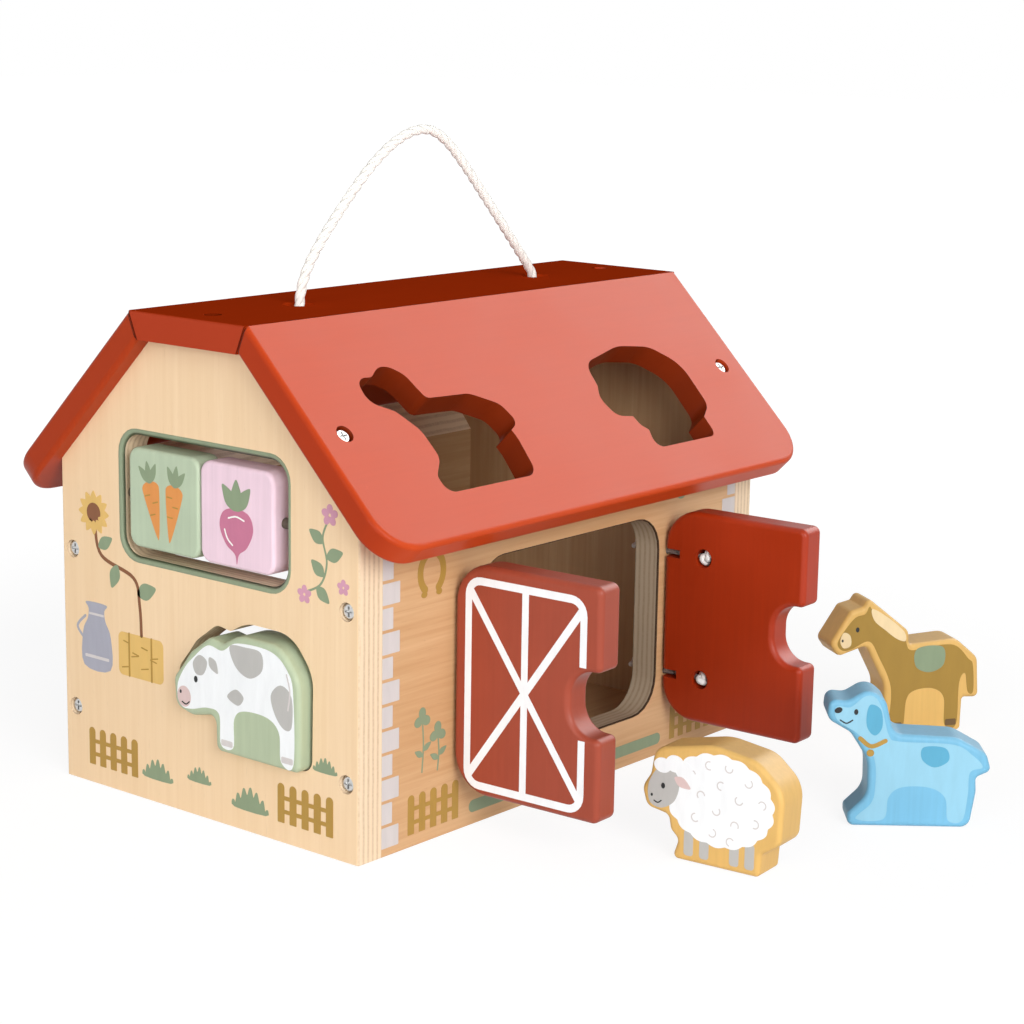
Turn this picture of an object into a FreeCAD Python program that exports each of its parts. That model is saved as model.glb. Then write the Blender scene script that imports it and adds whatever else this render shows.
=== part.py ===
import FreeCAD, Part
import math
import os

# Wooden toy farmhouse: plywood walls, red roof boards, doors on cord hinges,
# spinning picture tiles and four animal pieces that fit the cut-outs.
# Millimetres. X runs along the front wall, -Y is the front, Z is up from the table.

# House shell
ply = 12.0
house_length = 240.0
house_depth = 157.0
floor_thickness = 6.0
gable_edge_radius = 1.0
wall_top_gap = 0.15
wall_bevel_drop = 15.0

# Roof
roof_board = 10.5
roof_pitch = 45.0
ridge_width = 61.0
eave_overhang = 32.1
roof_overhang = 7.5
roof_joint_gap = 0.3
roof_corner_radius = 16.0
roof_edge_radius = 2.0

# Screws
screw_head_radius = 3.0
screw_head_height = 2.4
screw_shank_radius = 1.5
screw_shank_length = 20.0
screw_recess_depth = 3.5
screw_recess_clearance = 0.5
screw_hole_clearance = 0.05
cross_slot_width = 0.9
cross_slot_length = 3.8
cross_slot_depth = 1.2
gable_screw_low = 29.0
gable_screw_high = 92.0
slope_screw_from_wall = 17.9

# Door opening and doors
opening_half_width = 55.5
back_opening_half_width = 72.0
doorway_sill = 20.0
doorway_header = 25.65
opening_corner_radius = 14.0
opening_edge_radius = 0.8
door_thickness = 12.0
door_side_overlap = 10.0
door_overlap_below = 3.0
door_overlap_above = 3.0
door_hinge_corner_radius = 15.0
door_free_corner_radius = 3.0
door_edge_radius = 2.2
door_wall_gap = 0.8
door_meeting_gap = 1.0
notch_height = 24.0
notch_depth = 13.5
notch_inner_radius = 10.0
notch_mouth_radius = 2.4
left_door_angle = 87.5
right_door_angle = 92.5

# Cord hinges
cord_radius = 1.2
cord_hole_radius = 1.5
cord_spread = 25.0
hinge_inset = 3.5
hinge_slot_length = 7.2
hinge_slot_depth = 5.4
hinge_slot_width = 3.4
hinge_cord_gap = 0.3
wall_knot_radius = 3.2
door_knot_radius = 2.9
knot_recess_radius = 3.8
knot_recess_depth = 6.5
knot_from_edge = 18.5

# Window and picture tiles
window_header = 37.25
window_corner_radius = 8.0
window_chamfer = 1.2
tile_size = 38.0
tile_gap = 0.6
tile_side_room = 4.7
tile_end_room = 4.25
tile_stands_out = 1.5
tile_corner_radius = 5.0
tile_edge_radius = 1.5
axle_radius = 2.0
axle_bore_clearance = 0.05
axle_seat = 8.0
axle_slide_room = 9.0

# Rope handle
rope_radius = 2.0
rope_hole_radius = 2.6
rope_hole_flare = 3.5
rope_hole_half_spacing = 70.0
rope_knot_radius = 5.0
rope_knot_drop = 4.0

# Animal pieces and their cut-outs
piece_thickness = 16.0
piece_edge_radius = 1.8
cutout_clearance = 2.0
seat_gap = 0.3
cow_proud = 5.0
cow_seat_height = 29.4
cow_nose_from_wall = 77.4
cow_to_window = 19.55
dog_nose_from_gable = 17.0
sheep_nose_from_gable = 78.5
horse_nose_from_gable = 73.0
cutout_foot_from_eave = 20.5

# Where the loose pieces stand: nose corner on the table and heading
sheep_spot = (-39.1, -143.4)
sheep_heading = -84.4
dog_spot = (29.7, -177.5)
dog_heading = -50.7
horse_spot = (123.5, -119.5)
horse_heading = -34.0

# Animal outlines, seen from the printed side: along from the nose, up from the
# feet, and the rounding of that corner
sheep_corners = [
    (12.3, 0.0, 1.9), (48.0, 0.0, 1.9), (48.6, 8.6, 2.0), (56.0, 13.5, 5.0),
    (57.0, 33.0, 12.0), (46.0, 42.6, 12.0), (28.0, 45.2, 20.0), (4.0, 40.0, 6.0),
    (2.6, 30.0, 6.0), (-0.9, 24.5, 5.0), (1.2, 17.4, 4.0), (10.4, 15.8, 2.5),
    (11.4, 10.6, 3.0), (14.8, 7.4, 2.5),
]
dog_corners = [
    (8.8, 0.0, 2.6), (54.6, 0.0, 4.0), (56.6, 14.0, 8.0), (56.2, 19.6, 2.0),
    (61.8, 22.3, 2.2), (59.8, 29.0, 5.0), (48.5, 35.2, 9.0), (24.6, 36.2, 5.0),
    (21.4, 48.6, 6.0), (15.2, 53.8, 6.0), (7.0, 48.6, 5.0), (0.2, 49.2, 3.0),
    (-0.6, 41.6, 4.5), (8.6, 36.4, 6.0), (15.4, 26.0, 12.0), (15.8, 12.0, 9.0),
    (8.6, 4.8, 2.2),
]
horse_corners = [
    (25.0, 0.0, 1.9), (61.2, 0.0, 1.9), (61.4, 14.4, 1.2), (68.9, 14.0, 2.2),
    (67.6, 31.5, 5.0), (57.0, 40.6, 7.0), (35.4, 39.2, 1.5), (35.0, 45.0, 4.0),
    (16.0, 60.2, 2.2), (13.6, 56.4, 1.0), (8.0, 55.0, 2.5), (-0.8, 41.2, 3.0),
    (3.2, 35.6, 3.0), (15.8, 39.6, 2.5), (25.0, 22.0, 12.0),
]
cow_corners = [
    (22.0, 0.0, 3.0), (64.7, 0.0, 3.0), (65.2, 34.0, 13.0), (55.5, 45.6, 13.0),
    (34.0, 45.8, 16.0), (25.6, 41.2, 4.0), (18.6, 42.4, 3.5), (8.6, 35.2, 5.0),
    (4.2, 29.6, 3.0), (-0.5, 24.0, 4.0), (0.4, 12.8, 5.0), (9.4, 10.8, 6.0),
    (21.6, 13.4, 3.0),
]

# Sizes that follow from the ones above
half_length = house_length / 2
half_depth = house_depth / 2
inner_half_length = half_length - ply
inner_half_depth = half_depth - ply
pitch = math.radians(roof_pitch)
mitre_run = roof_board * math.tan(pitch / 2)
window_width = 2 * tile_size + tile_gap + 2 * tile_side_room
window_height = tile_size + 2 * tile_end_room
cow_height = max(up for along, up, radius in cow_corners)
window_sill = cow_seat_height + cow_height + cow_to_window
window_centre_height = window_sill + window_height / 2
gable_top = window_sill + window_height + window_header
ridge_height = gable_top + roof_board
gable_top_half_width = ridge_width / 2 - mitre_run
eave_height = gable_top - (half_depth - gable_top_half_width) * math.tan(pitch)
wall_line = (half_depth - ridge_width / 2) / math.cos(pitch)
slope_length = wall_line + eave_overhang
slope_screw_place = wall_line - slope_screw_from_wall
roof_half_length = half_length + roof_overhang
gable_middle = half_length - ply / 2
wall_middle = half_depth - ply / 2
opening_height = eave_height - doorway_header - doorway_sill
door_bottom = doorway_sill - door_overlap_below
door_height = opening_height + door_overlap_below + door_overlap_above
door_width = opening_half_width + door_side_overlap - door_meeting_gap / 2
door_middle = door_bottom + door_height / 2
hinge_x = door_meeting_gap / 2 + door_width - hinge_inset
hinge_y = -half_depth - door_wall_gap - hinge_inset
cord_heights = [door_middle - cord_spread, door_middle + cord_spread]
screw_recess_radius = screw_head_radius + screw_recess_clearance
screw_hole_radius = screw_shank_radius + screw_hole_clearance
axle_end = window_width / 2 + axle_seat
axle_x = -gable_middle - tile_stands_out
cow_nose_y = cow_nose_from_wall - inner_half_depth
dog_nose_x = dog_nose_from_gable - inner_half_length
sheep_nose_x = inner_half_length - sheep_nose_from_gable
horse_nose_x = horse_nose_from_gable - inner_half_length
roof_cutout_foot = slope_length - cutout_foot_from_eave
margin = 1.0

# Rope route, from the left knot over the hand and down to the right knot: along X,
# aside in Y and up from the top of the roof
rope_route = [
    (-rope_hole_half_spacing, 0.0, -roof_board), (-rope_hole_half_spacing, 0.0, 0.0),
    (-66.5, 0.3, 11.5), (-56.0, 0.6, 24.5), (-34.0, 0.8, 46.5), (-16.0, 0.4, 59.5),
    (0.0, 0.0, 63.8), (12.0, -0.3, 59.0), (25.0, -0.5, 46.8), (47.0, -0.6, 23.5),
    (61.5, -0.3, 8.5), (rope_hole_half_spacing, 0.0, -0.5), (rope_hole_half_spacing, 0.0, -roof_board),
]

X_AXIS = FreeCAD.Vector(1, 0, 0)
Y_AXIS = FreeCAD.Vector(0, 1, 0)
Z_AXIS = FreeCAD.Vector(0, 0, 1)
ORIGIN = FreeCAD.Vector(0, 0, 0)


def block(x0, x1, y0, y1, z0, z1):
    corner = FreeCAD.Vector(x0, y0, z0)
    return Part.makeBox(x1 - x0, y1 - y0, z1 - z0, corner)


def rod(radius, start, end):
    run = FreeCAD.Vector(end) - FreeCAD.Vector(start)
    return Part.makeCylinder(radius, run.Length, FreeCAD.Vector(start), run)


def rounded_face(corners):
    """A face in the XZ plane whose corners (along, up, radius) are arcs."""
    count = len(corners)
    entries = []
    exits = []
    middles = []
    for i in range(count):
        along, up, radius = corners[i]
        here = FreeCAD.Vector(along, 0, up)
        before = FreeCAD.Vector(corners[i - 1][0], 0, corners[i - 1][1]) - here
        after = FreeCAD.Vector(corners[(i + 1) % count][0], 0, corners[(i + 1) % count][1]) - here
        before.normalize()
        after.normalize()
        half_angle = before.getAngle(after) / 2
        reach = radius / math.tan(half_angle)
        inward = before + after
        inward.normalize()
        entries.append(here + before * reach)
        exits.append(here + after * reach)
        middles.append(here + inward * (radius / math.sin(half_angle) - radius))
    edges = []
    for i in range(count):
        edges.append(Part.Arc(entries[i], middles[i], exits[i]).toShape())
        following = entries[(i + 1) % count]
        if exits[i].distanceToPoint(following) > 1e-4:
            edges.append(Part.LineSegment(exits[i], following).toShape())
    return Part.Face(Part.Wire(edges))


def rounded_rectangle(x0, x1, z0, z1, radius):
    return rounded_face([(x0, z0, radius), (x1, z0, radius), (x1, z1, radius), (x0, z1, radius)])


def edges_in_plane(solid, axis, place):
    """The edges of a solid that lie in the plane where one coordinate is fixed."""
    found = []
    for edge in solid.Edges:
        low = getattr(edge.BoundBox, axis + "Min")
        high = getattr(edge.BoundBox, axis + "Max")
        if abs(low - place) < 1e-4 and abs(high - place) < 1e-4:
            found.append(edge)
    return found


def turned(shape, heading, spot):
    """Turn a piece made in the XZ plane about Z, then set its corner on a spot."""
    moved = shape.copy()
    moved.rotate(ORIGIN, Z_AXIS, heading)
    moved.translate(FreeCAD.Vector(spot))
    return moved


def slope_placed(shape, front):
    """Carry a shape from (x, depth below the face, -distance down the slope) to a roof slope."""
    moved = shape.copy()
    moved.rotate(ORIGIN, X_AXIS, -(90.0 - roof_pitch))
    moved.translate(FreeCAD.Vector(0, -ridge_width / 2, ridge_height))
    if not front:
        moved.rotate(ORIGIN, Z_AXIS, 180.0)
    return moved


# Screws
# A screw is made with its head's seat at the origin and its shank along +X.

def screw():
    head = Part.makeCylinder(screw_head_radius, screw_head_height, ORIGIN, -X_AXIS)
    crown = edges_in_plane(head, "X", -screw_head_height)
    head = head.makeFillet(screw_head_height / 3, crown)
    shank = Part.makeCylinder(screw_shank_radius, screw_shank_length, ORIGIN, X_AXIS)
    body = head.fuse(shank)
    half_length_of_slot = cross_slot_length / 2
    half_width_of_slot = cross_slot_width / 2
    slot_floor = -screw_head_height + cross_slot_depth
    slot = block(
        -screw_head_height - margin, slot_floor,
        -half_length_of_slot, half_length_of_slot, -half_width_of_slot, half_width_of_slot,
    )
    crossing = slot.copy()
    crossing.rotate(ORIGIN, X_AXIS, 90)
    return body.cut(slot).cut(crossing).removeSplitter()


def screw_hole():
    recess = Part.makeCylinder(screw_recess_radius, screw_recess_depth + margin, ORIGIN, -X_AXIS)
    shank = Part.makeCylinder(screw_hole_radius, screw_shank_length + margin, ORIGIN, X_AXIS)
    return recess.fuse(shank)


def at_gable(shape, side, y, z):
    """Set a screw or its hole into a gable, pointing inwards."""
    moved = shape.copy()
    if side > 0:
        moved.rotate(ORIGIN, Z_AXIS, 180)
    moved.translate(FreeCAD.Vector(side * (half_length - screw_recess_depth), y, z))
    return moved


def at_slope(shape, side, front):
    """Set a screw or its hole square to a roof slope, over a gable."""
    moved = shape.copy()
    moved.rotate(ORIGIN, Z_AXIS, 90)
    moved.translate(FreeCAD.Vector(side * gable_middle, screw_recess_depth, -slope_screw_place))
    return slope_placed(moved, front)


def at_ridge(shape, side):
    """Set a screw or its hole upright through the top board, over a gable."""
    moved = shape.copy()
    moved.rotate(ORIGIN, Y_AXIS, 90)
    moved.translate(FreeCAD.Vector(side * gable_middle, 0, ridge_height - screw_recess_depth))
    return moved


def gable_screw_set(shape, side):
    return [
        at_gable(shape, side, y, z)
        for y in (-wall_middle, wall_middle)
        for z in (gable_screw_low, gable_screw_high)
    ]


def slope_screw_set(shape, front):
    return [at_slope(shape, side, front) for side in (-1, 1)]


def ridge_screw_set(shape):
    return [at_ridge(shape, side) for side in (-1, 1)]


def cut_all(solid, tools):
    for tool in tools:
        solid = solid.cut(tool)
    return solid


# Animal pieces

def animal_piece(corners):
    piece = rounded_face(corners).extrude(Y_AXIS * piece_thickness)
    rims = edges_in_plane(piece, "Y", 0) + edges_in_plane(piece, "Y", piece_thickness)
    return piece.makeFillet(piece_edge_radius, rims)


def animal_cutter(corners, depth):
    """A prism a clearance larger than the piece all round, past both faces of a board."""
    outline = rounded_face(corners).makeOffset2D(cutout_clearance)
    outline.translate(-Y_AXIS * margin)
    return outline.extrude(Y_AXIS * (depth + 2 * margin))


# Gables

def gable_blank():
    profile = [
        (-half_depth, 0), (half_depth, 0), (half_depth, eave_height),
        (gable_top_half_width, gable_top), (-gable_top_half_width, gable_top),
        (-half_depth, eave_height),
    ]
    points = [FreeCAD.Vector(-half_length, y, z) for y, z in profile]
    face = Part.Face(Part.makePolygon(points + points[:1]))
    panel = face.extrude(X_AXIS * ply)
    corners = [
        edge for edge in edges_in_plane(panel, "X", -half_length)
        if edge.BoundBox.YLength < 1e-4
    ]
    return panel.makeFillet(gable_edge_radius, corners)


def joinery_holes(side):
    return (
        gable_screw_set(screw_hole(), side)
        + slope_screw_set(screw_hole(), True)
        + slope_screw_set(screw_hole(), False)
        + ridge_screw_set(screw_hole())
    )


def left_gable_panel():
    panel = gable_blank()
    half_window = window_height / 2
    window = rounded_rectangle(
        -window_width / 2, window_width / 2,
        window_centre_height - half_window, window_centre_height + half_window,
        window_corner_radius,
    )
    window = window.extrude(Y_AXIS * (ply + 2 * margin))
    panel = panel.cut(turned(window, -90, (-half_length - margin, 0, 0)))
    rim = [
        edge for edge in edges_in_plane(panel, "X", -half_length)
        if edge.BoundBox.ZMin > window_centre_height - half_window - 1e-3
        and edge.BoundBox.ZMax < window_centre_height + half_window + 1e-3
        and edge.BoundBox.YMax < window_width / 2 + 1e-3
        and edge.BoundBox.YMin > -window_width / 2 - 1e-3
    ]
    panel = panel.makeChamfer(window_chamfer, rim)
    cow_hole_height = cow_seat_height + cutout_clearance
    cow_hole = turned(
        animal_cutter(cow_corners, ply), -90, (-half_length, cow_nose_y, cow_hole_height)
    )
    bore = rod(
        axle_radius + axle_bore_clearance,
        (axle_x, -axle_end - axle_slide_room, window_centre_height),
        (axle_x, axle_end, window_centre_height),
    )
    return cut_all(panel.cut(cow_hole).cut(bore), joinery_holes(-1))


def right_gable_panel():
    return cut_all(turned(gable_blank(), 180, (0, 0, 0)), joinery_holes(1))


# Walls and floor

def wall_blank():
    """A wall in the front place, before its opening: the top edge falls inwards from the roof."""
    profile = [
        (-half_depth, 0), (-inner_half_depth, 0),
        (-inner_half_depth, eave_height - wall_bevel_drop),
        (-half_depth, eave_height - wall_top_gap),
    ]
    points = [FreeCAD.Vector(-inner_half_length, y, z) for y, z in profile]
    face = Part.Face(Part.makePolygon(points + points[:1]))
    wall = face.extrude(X_AXIS * 2 * inner_half_length)
    return cut_all(wall, gable_screw_set(screw_hole(), -1) + gable_screw_set(screw_hole(), 1))


def opened_wall(half_width):
    """A wall in the front place with a doorway, its rims rounded on both faces."""
    wall = wall_blank()
    opening = rounded_rectangle(
        -half_width, half_width,
        doorway_sill, doorway_sill + opening_height, opening_corner_radius,
    )
    opening = opening.extrude(Y_AXIS * (ply + 2 * margin))
    opening.translate(FreeCAD.Vector(0, -half_depth - margin, 0))
    wall = wall.cut(opening)
    rims = [
        edge
        for place in (-half_depth, -inner_half_depth)
        for edge in edges_in_plane(wall, "Y", place)
        if edge.BoundBox.XMin > -half_width - 1e-3
        and edge.BoundBox.XMax < half_width + 1e-3
        and edge.BoundBox.ZMin > doorway_sill - 1e-3
    ]
    return wall.makeFillet(opening_edge_radius, rims)


def front_wall():
    wall = opened_wall(opening_half_width)
    for side in (-1, 1):
        for height in cord_heights:
            outside = (side * hinge_x, -half_depth - margin, height)
            inside = (side * hinge_x, -inner_half_depth + margin, height)
            wall = wall.cut(rod(cord_hole_radius, outside, inside))
    return wall


def back_wall():
    return turned(opened_wall(back_opening_half_width), 180, (0, 0, 0))


def floor_panel():
    return block(
        -inner_half_length, inner_half_length,
        -inner_half_depth, inner_half_depth, 0, floor_thickness,
    )


# Roof boards

def roof_top_panel():
    top_half = ridge_width / 2 - roof_joint_gap / 2
    under_half = gable_top_half_width - roof_joint_gap / 2
    profile = [
        (-top_half, ridge_height), (top_half, ridge_height),
        (under_half, gable_top), (-under_half, gable_top),
    ]
    points = [FreeCAD.Vector(-roof_half_length, y, z) for y, z in profile]
    face = Part.Face(Part.makePolygon(points + points[:1]))
    board = face.extrude(X_AXIS * 2 * roof_half_length)
    ends = edges_in_plane(board, "X", -roof_half_length) + edges_in_plane(board, "X", roof_half_length)
    crowns = [edge for edge in ends if edge.BoundBox.ZMin > ridge_height - 1e-3]
    board = board.makeFillet(roof_edge_radius / 2, crowns)
    for side in (-1, 1):
        x = side * rope_hole_half_spacing
        board = board.cut(rod(rope_hole_radius, (x, 0, gable_top - margin), (x, 0, ridge_height + margin)))
        flare = Part.makeCone(
            rope_hole_radius, rope_hole_radius + rope_hole_flare, rope_hole_flare,
            FreeCAD.Vector(x, 0, ridge_height - rope_hole_flare), Z_AXIS,
        )
        board = board.cut(flare)
    return cut_all(board, ridge_screw_set(screw_hole()))


def slope_blank():
    """A slope board lying in the XZ plane: face at y = 0, eave towards -Z."""
    gap = roof_joint_gap / 2
    profile = [
        (0, -gap), (0, -slope_length), (roof_board, -slope_length), (roof_board, -mitre_run - gap),
    ]
    points = [FreeCAD.Vector(-roof_half_length, y, z) for y, z in profile]
    face = Part.Face(Part.makePolygon(points + points[:1]))
    board = face.extrude(X_AXIS * 2 * roof_half_length)
    corners = [
        edge for edge in board.Edges
        if edge.BoundBox.ZMax < -slope_length + 1e-3 and edge.BoundBox.XLength < 1e-4
    ]
    board = board.makeFillet(roof_corner_radius, corners)
    rims = [
        edge
        for place in (0, roof_board)
        for edge in edges_in_plane(board, "Y", place)
        if edge.BoundBox.ZMin < -mitre_run - 2 * gap
    ]
    return board.makeFillet(roof_edge_radius, rims)


def slope_hole(corners, nose):
    hole = animal_cutter(corners, roof_board)
    hole.translate(FreeCAD.Vector(nose, 0, -roof_cutout_foot))
    return hole


def roof_front_slope():
    board = slope_blank().cut(slope_hole(dog_corners, dog_nose_x))
    board = board.cut(slope_hole(sheep_corners, sheep_nose_x))
    return cut_all(slope_placed(board, True), slope_screw_set(screw_hole(), True))


def roof_back_slope():
    board = slope_blank().cut(slope_hole(horse_corners, horse_nose_x))
    return cut_all(slope_placed(board, False), slope_screw_set(screw_hole(), False))


# Doors
# A door is made closed against the front wall as the left leaf, hinge edge at its left.

def closed_door():
    face_y = -half_depth - door_wall_gap - door_thickness
    free_x = -door_meeting_gap / 2
    hinge_edge = free_x - door_width
    top = door_bottom + door_height
    notch_low = door_middle - notch_height / 2
    notch_high = door_middle + notch_height / 2
    notch_end = free_x - notch_depth
    outline = rounded_face([
        (hinge_edge, door_bottom, door_hinge_corner_radius),
        (free_x, door_bottom, door_free_corner_radius),
        (free_x, notch_low, notch_mouth_radius),
        (notch_end, notch_low, notch_inner_radius),
        (notch_end, notch_high, notch_inner_radius),
        (free_x, notch_high, notch_mouth_radius),
        (free_x, top, door_free_corner_radius),
        (hinge_edge, top, door_hinge_corner_radius),
    ])
    outline.translate(FreeCAD.Vector(0, face_y, 0))
    leaf = outline.extrude(Y_AXIS * door_thickness)
    back_y = face_y + door_thickness
    rims = edges_in_plane(leaf, "Y", face_y) + edges_in_plane(leaf, "Y", back_y)
    leaf = leaf.makeFillet(door_edge_radius, rims)
    for height in cord_heights:
        slot = block(
            hinge_edge - margin, hinge_edge + hinge_slot_length,
            back_y - hinge_slot_depth, back_y + margin,
            height - hinge_slot_width / 2, height + hinge_slot_width / 2,
        )
        knot_x = hinge_edge + knot_from_edge
        recess = rod(
            knot_recess_radius,
            (knot_x, back_y - knot_recess_depth, height), (knot_x, back_y + margin, height),
        )
        channel = rod(cord_hole_radius, (hinge_edge - margin, hinge_y, height), (knot_x, hinge_y, height))
        leaf = leaf.cut(slot).cut(recess).cut(channel)
    return leaf


def closed_door_cords():
    """The cord inside the left leaf, from the hinge line to the knot in its recess."""
    start_x = -hinge_x + cord_radius + hinge_cord_gap
    knot_x = -door_meeting_gap / 2 - door_width + knot_from_edge
    cords = []
    for height in cord_heights:
        cord = rod(cord_radius, (start_x, hinge_y, height), (knot_x, hinge_y, height))
        knot = Part.makeSphere(door_knot_radius, FreeCAD.Vector(knot_x, hinge_y, height))
        cords.append(cord.fuse(knot))
    return cords


def mirrored(shape):
    return shape.mirror(ORIGIN, X_AXIS)


def opened(shape, side):
    """Swing a closed left leaf, or its mirror image on the right, to where it stands open."""
    swing = -left_door_angle
    if side > 0:
        shape = mirrored(shape)
        swing = right_door_angle
    moved = shape.copy()
    moved.rotate(FreeCAD.Vector(side * hinge_x, hinge_y, 0), Z_AXIS, swing)
    return moved


def wall_cords(side):
    """The cord through the wall, from its knot inside to the hinge line outside."""
    cords = []
    for height in cord_heights:
        line_x = side * hinge_x
        cord = rod(cord_radius, (line_x, -inner_half_depth, height), (line_x, hinge_y, height))
        tip = Part.makeSphere(cord_radius, FreeCAD.Vector(line_x, hinge_y, height))
        knot = Part.makeSphere(
            wall_knot_radius, FreeCAD.Vector(line_x, -inner_half_depth + wall_knot_radius * 0.8, height)
        )
        inside_wall = block(
            line_x - 2 * wall_knot_radius, line_x + 2 * wall_knot_radius,
            -half_depth, -inner_half_depth,
            height - 2 * wall_knot_radius, height + 2 * wall_knot_radius,
        )
        cords.append(cord.fuse(tip).fuse(knot.cut(inside_wall)))
    return cords


# Picture tiles and their axle

def picture_tile(first_y):
    low = window_centre_height - tile_size / 2
    face = rounded_rectangle(0, tile_size, low, low + tile_size, tile_corner_radius)
    tile = face.extrude(Y_AXIS * ply)
    rims = edges_in_plane(tile, "Y", 0) + edges_in_plane(tile, "Y", ply)
    tile = tile.makeFillet(tile_edge_radius, rims)
    tile = turned(tile, -90, (-half_length - tile_stands_out, first_y, 0))
    bore = rod(
        axle_radius + axle_bore_clearance,
        (axle_x, first_y + margin, window_centre_height),
        (axle_x, first_y - tile_size - margin, window_centre_height),
    )
    return tile.cut(bore)


def tile_axle():
    return rod(
        axle_radius,
        (axle_x, -axle_end, window_centre_height),
        (axle_x, axle_end, window_centre_height),
    )


# Rope handle

def rope_path():
    """Straight runs joined by tangent arcs, each as large as its runs allow."""
    points = [FreeCAD.Vector(along, aside, ridge_height + rise) for along, aside, rise in rope_route]
    edges = []
    radii = []
    last = points[0]
    for i in range(1, len(points) - 1):
        here = points[i]
        back = points[i - 1] - here
        ahead = points[i + 1] - here
        reach = 0.45 * min(back.Length, ahead.Length)
        half_angle = back.getAngle(ahead) / 2
        radius = reach * math.tan(half_angle)
        radii.append(radius)
        back.normalize()
        ahead.normalize()
        inward = back + ahead
        inward.normalize()
        entry = here + back * reach
        leave = here + ahead * reach
        middle = here + inward * (radius / math.sin(half_angle) - radius)
        edges.append(Part.LineSegment(last, entry).toShape())
        edges.append(Part.Arc(entry, middle, leave).toShape())
        last = leave
    edges.append(Part.LineSegment(last, points[-1]).toShape())
    return Part.Wire(edges), radii


def rope_handle():
    path, radii = rope_path()
    start = FreeCAD.Vector(-rope_hole_half_spacing, 0, gable_top)
    section = Part.Wire(Part.makeCircle(rope_radius, start, Z_AXIS))
    rope = path.makePipeShell([section], True, False)
    print("rope length", round(path.Length, 1), "bend radii", [round(radius, 1) for radius in radii])
    print("rope volume", round(rope.Volume, 1), "section times length",
          round(math.pi * rope_radius ** 2 * path.Length, 1))
    return rope


def rope_knots():
    knots = []
    for side in (-1, 1):
        centre = FreeCAD.Vector(side * rope_hole_half_spacing, 0, gable_top - rope_knot_drop)
        ball = Part.makeSphere(rope_knot_radius, centre)
        above = block(
            centre.x - 2 * rope_knot_radius, centre.x + 2 * rope_knot_radius,
            -2 * rope_knot_radius, 2 * rope_knot_radius, gable_top, gable_top + 2 * rope_knot_radius,
        )
        knots.append(ball.cut(above))
    return knots


def save(name, shape):
    solids = shape if isinstance(shape, list) else [shape]
    group = Part.makeCompound([solid for item in solids for solid in item.Solids])
    group.exportStep(os.path.join("parts", name + ".step"))
    print(name, len(group.Solids), "valid" if group.isValid() else "NOT VALID", round(group.Volume, 1))


os.makedirs("parts", exist_ok=True)
save("left_gable_panel", left_gable_panel())
save("right_gable_panel", right_gable_panel())
save("front_wall", front_wall())
save("back_wall", back_wall())
save("floor_panel", floor_panel())
save("roof_top_panel", roof_top_panel())
save("roof_front_slope", roof_front_slope())
save("roof_back_slope", roof_back_slope())
save("left_gable_screws", gable_screw_set(screw(), -1))
save("right_gable_screws", gable_screw_set(screw(), 1))
save("roof_front_screws", slope_screw_set(screw(), True))
save("roof_back_screws", slope_screw_set(screw(), False))
save("roof_top_screws", ridge_screw_set(screw()))
save("left_door", opened(closed_door(), -1))
save("right_door", opened(closed_door(), 1))
save("left_door_cords", [opened(cord, -1) for cord in closed_door_cords()])
save("right_door_cords", [opened(cord, 1) for cord in closed_door_cords()])
save("left_wall_cords", wall_cords(-1))
save("right_wall_cords", wall_cords(1))
save("green_tile", picture_tile(tile_gap / 2 + tile_size))
save("pink_tile", picture_tile(-tile_gap / 2))
save("tile_axle", tile_axle())
save("rope_handle", rope_handle())
save("rope_knots", rope_knots())
cow_corner = (-half_length - cow_proud, cow_nose_y, cow_seat_height + seat_gap)
save("cow_piece", turned(animal_piece(cow_corners), -90, cow_corner))
save("sheep_piece", turned(animal_piece(sheep_corners), sheep_heading, sheep_spot + (0,)))
save("dog_piece", turned(animal_piece(dog_corners), dog_heading, dog_spot + (0,)))
save("horse_piece", turned(animal_piece(horse_corners), horse_heading, horse_spot + (0,)))
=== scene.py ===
import math
import bpy
from mathutils import Matrix, Vector
from mathutils.geometry import tessellate_polygon


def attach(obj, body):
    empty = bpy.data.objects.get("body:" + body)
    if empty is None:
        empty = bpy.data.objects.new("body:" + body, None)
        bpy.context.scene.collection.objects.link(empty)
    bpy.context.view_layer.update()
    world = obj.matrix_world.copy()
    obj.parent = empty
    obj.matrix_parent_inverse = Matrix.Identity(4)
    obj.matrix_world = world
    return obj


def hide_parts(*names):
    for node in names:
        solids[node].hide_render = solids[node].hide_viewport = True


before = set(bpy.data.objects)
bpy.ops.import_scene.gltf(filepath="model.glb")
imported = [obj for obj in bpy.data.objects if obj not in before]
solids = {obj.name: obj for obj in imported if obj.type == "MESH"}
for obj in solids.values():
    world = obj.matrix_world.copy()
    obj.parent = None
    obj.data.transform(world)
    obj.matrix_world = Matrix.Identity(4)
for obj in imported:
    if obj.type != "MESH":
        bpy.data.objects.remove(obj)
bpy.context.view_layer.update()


# Walls and floor
# The house is a box of 12 mm birch plywood boards, sanded and clear lacquered, butted
# and screwed at the corners. The cut edges show the pale and brown veneers.

def shader_node(tree, kind, inputs=None, **settings):
    made = tree.nodes.new(kind)
    for name, value in settings.items():
        setattr(made, name, value)
    for name, value in (inputs or {}).items():
        if isinstance(value, bpy.types.NodeSocket):
            tree.links.new(value, made.inputs[name])
        else:
            made.inputs[name].default_value = value
    return made


def reckon(tree, operation, *values):
    """One step of arithmetic on shader values."""
    return shader_node(tree, "ShaderNodeMath", dict(enumerate(values)), operation=operation).outputs[0]


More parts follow.
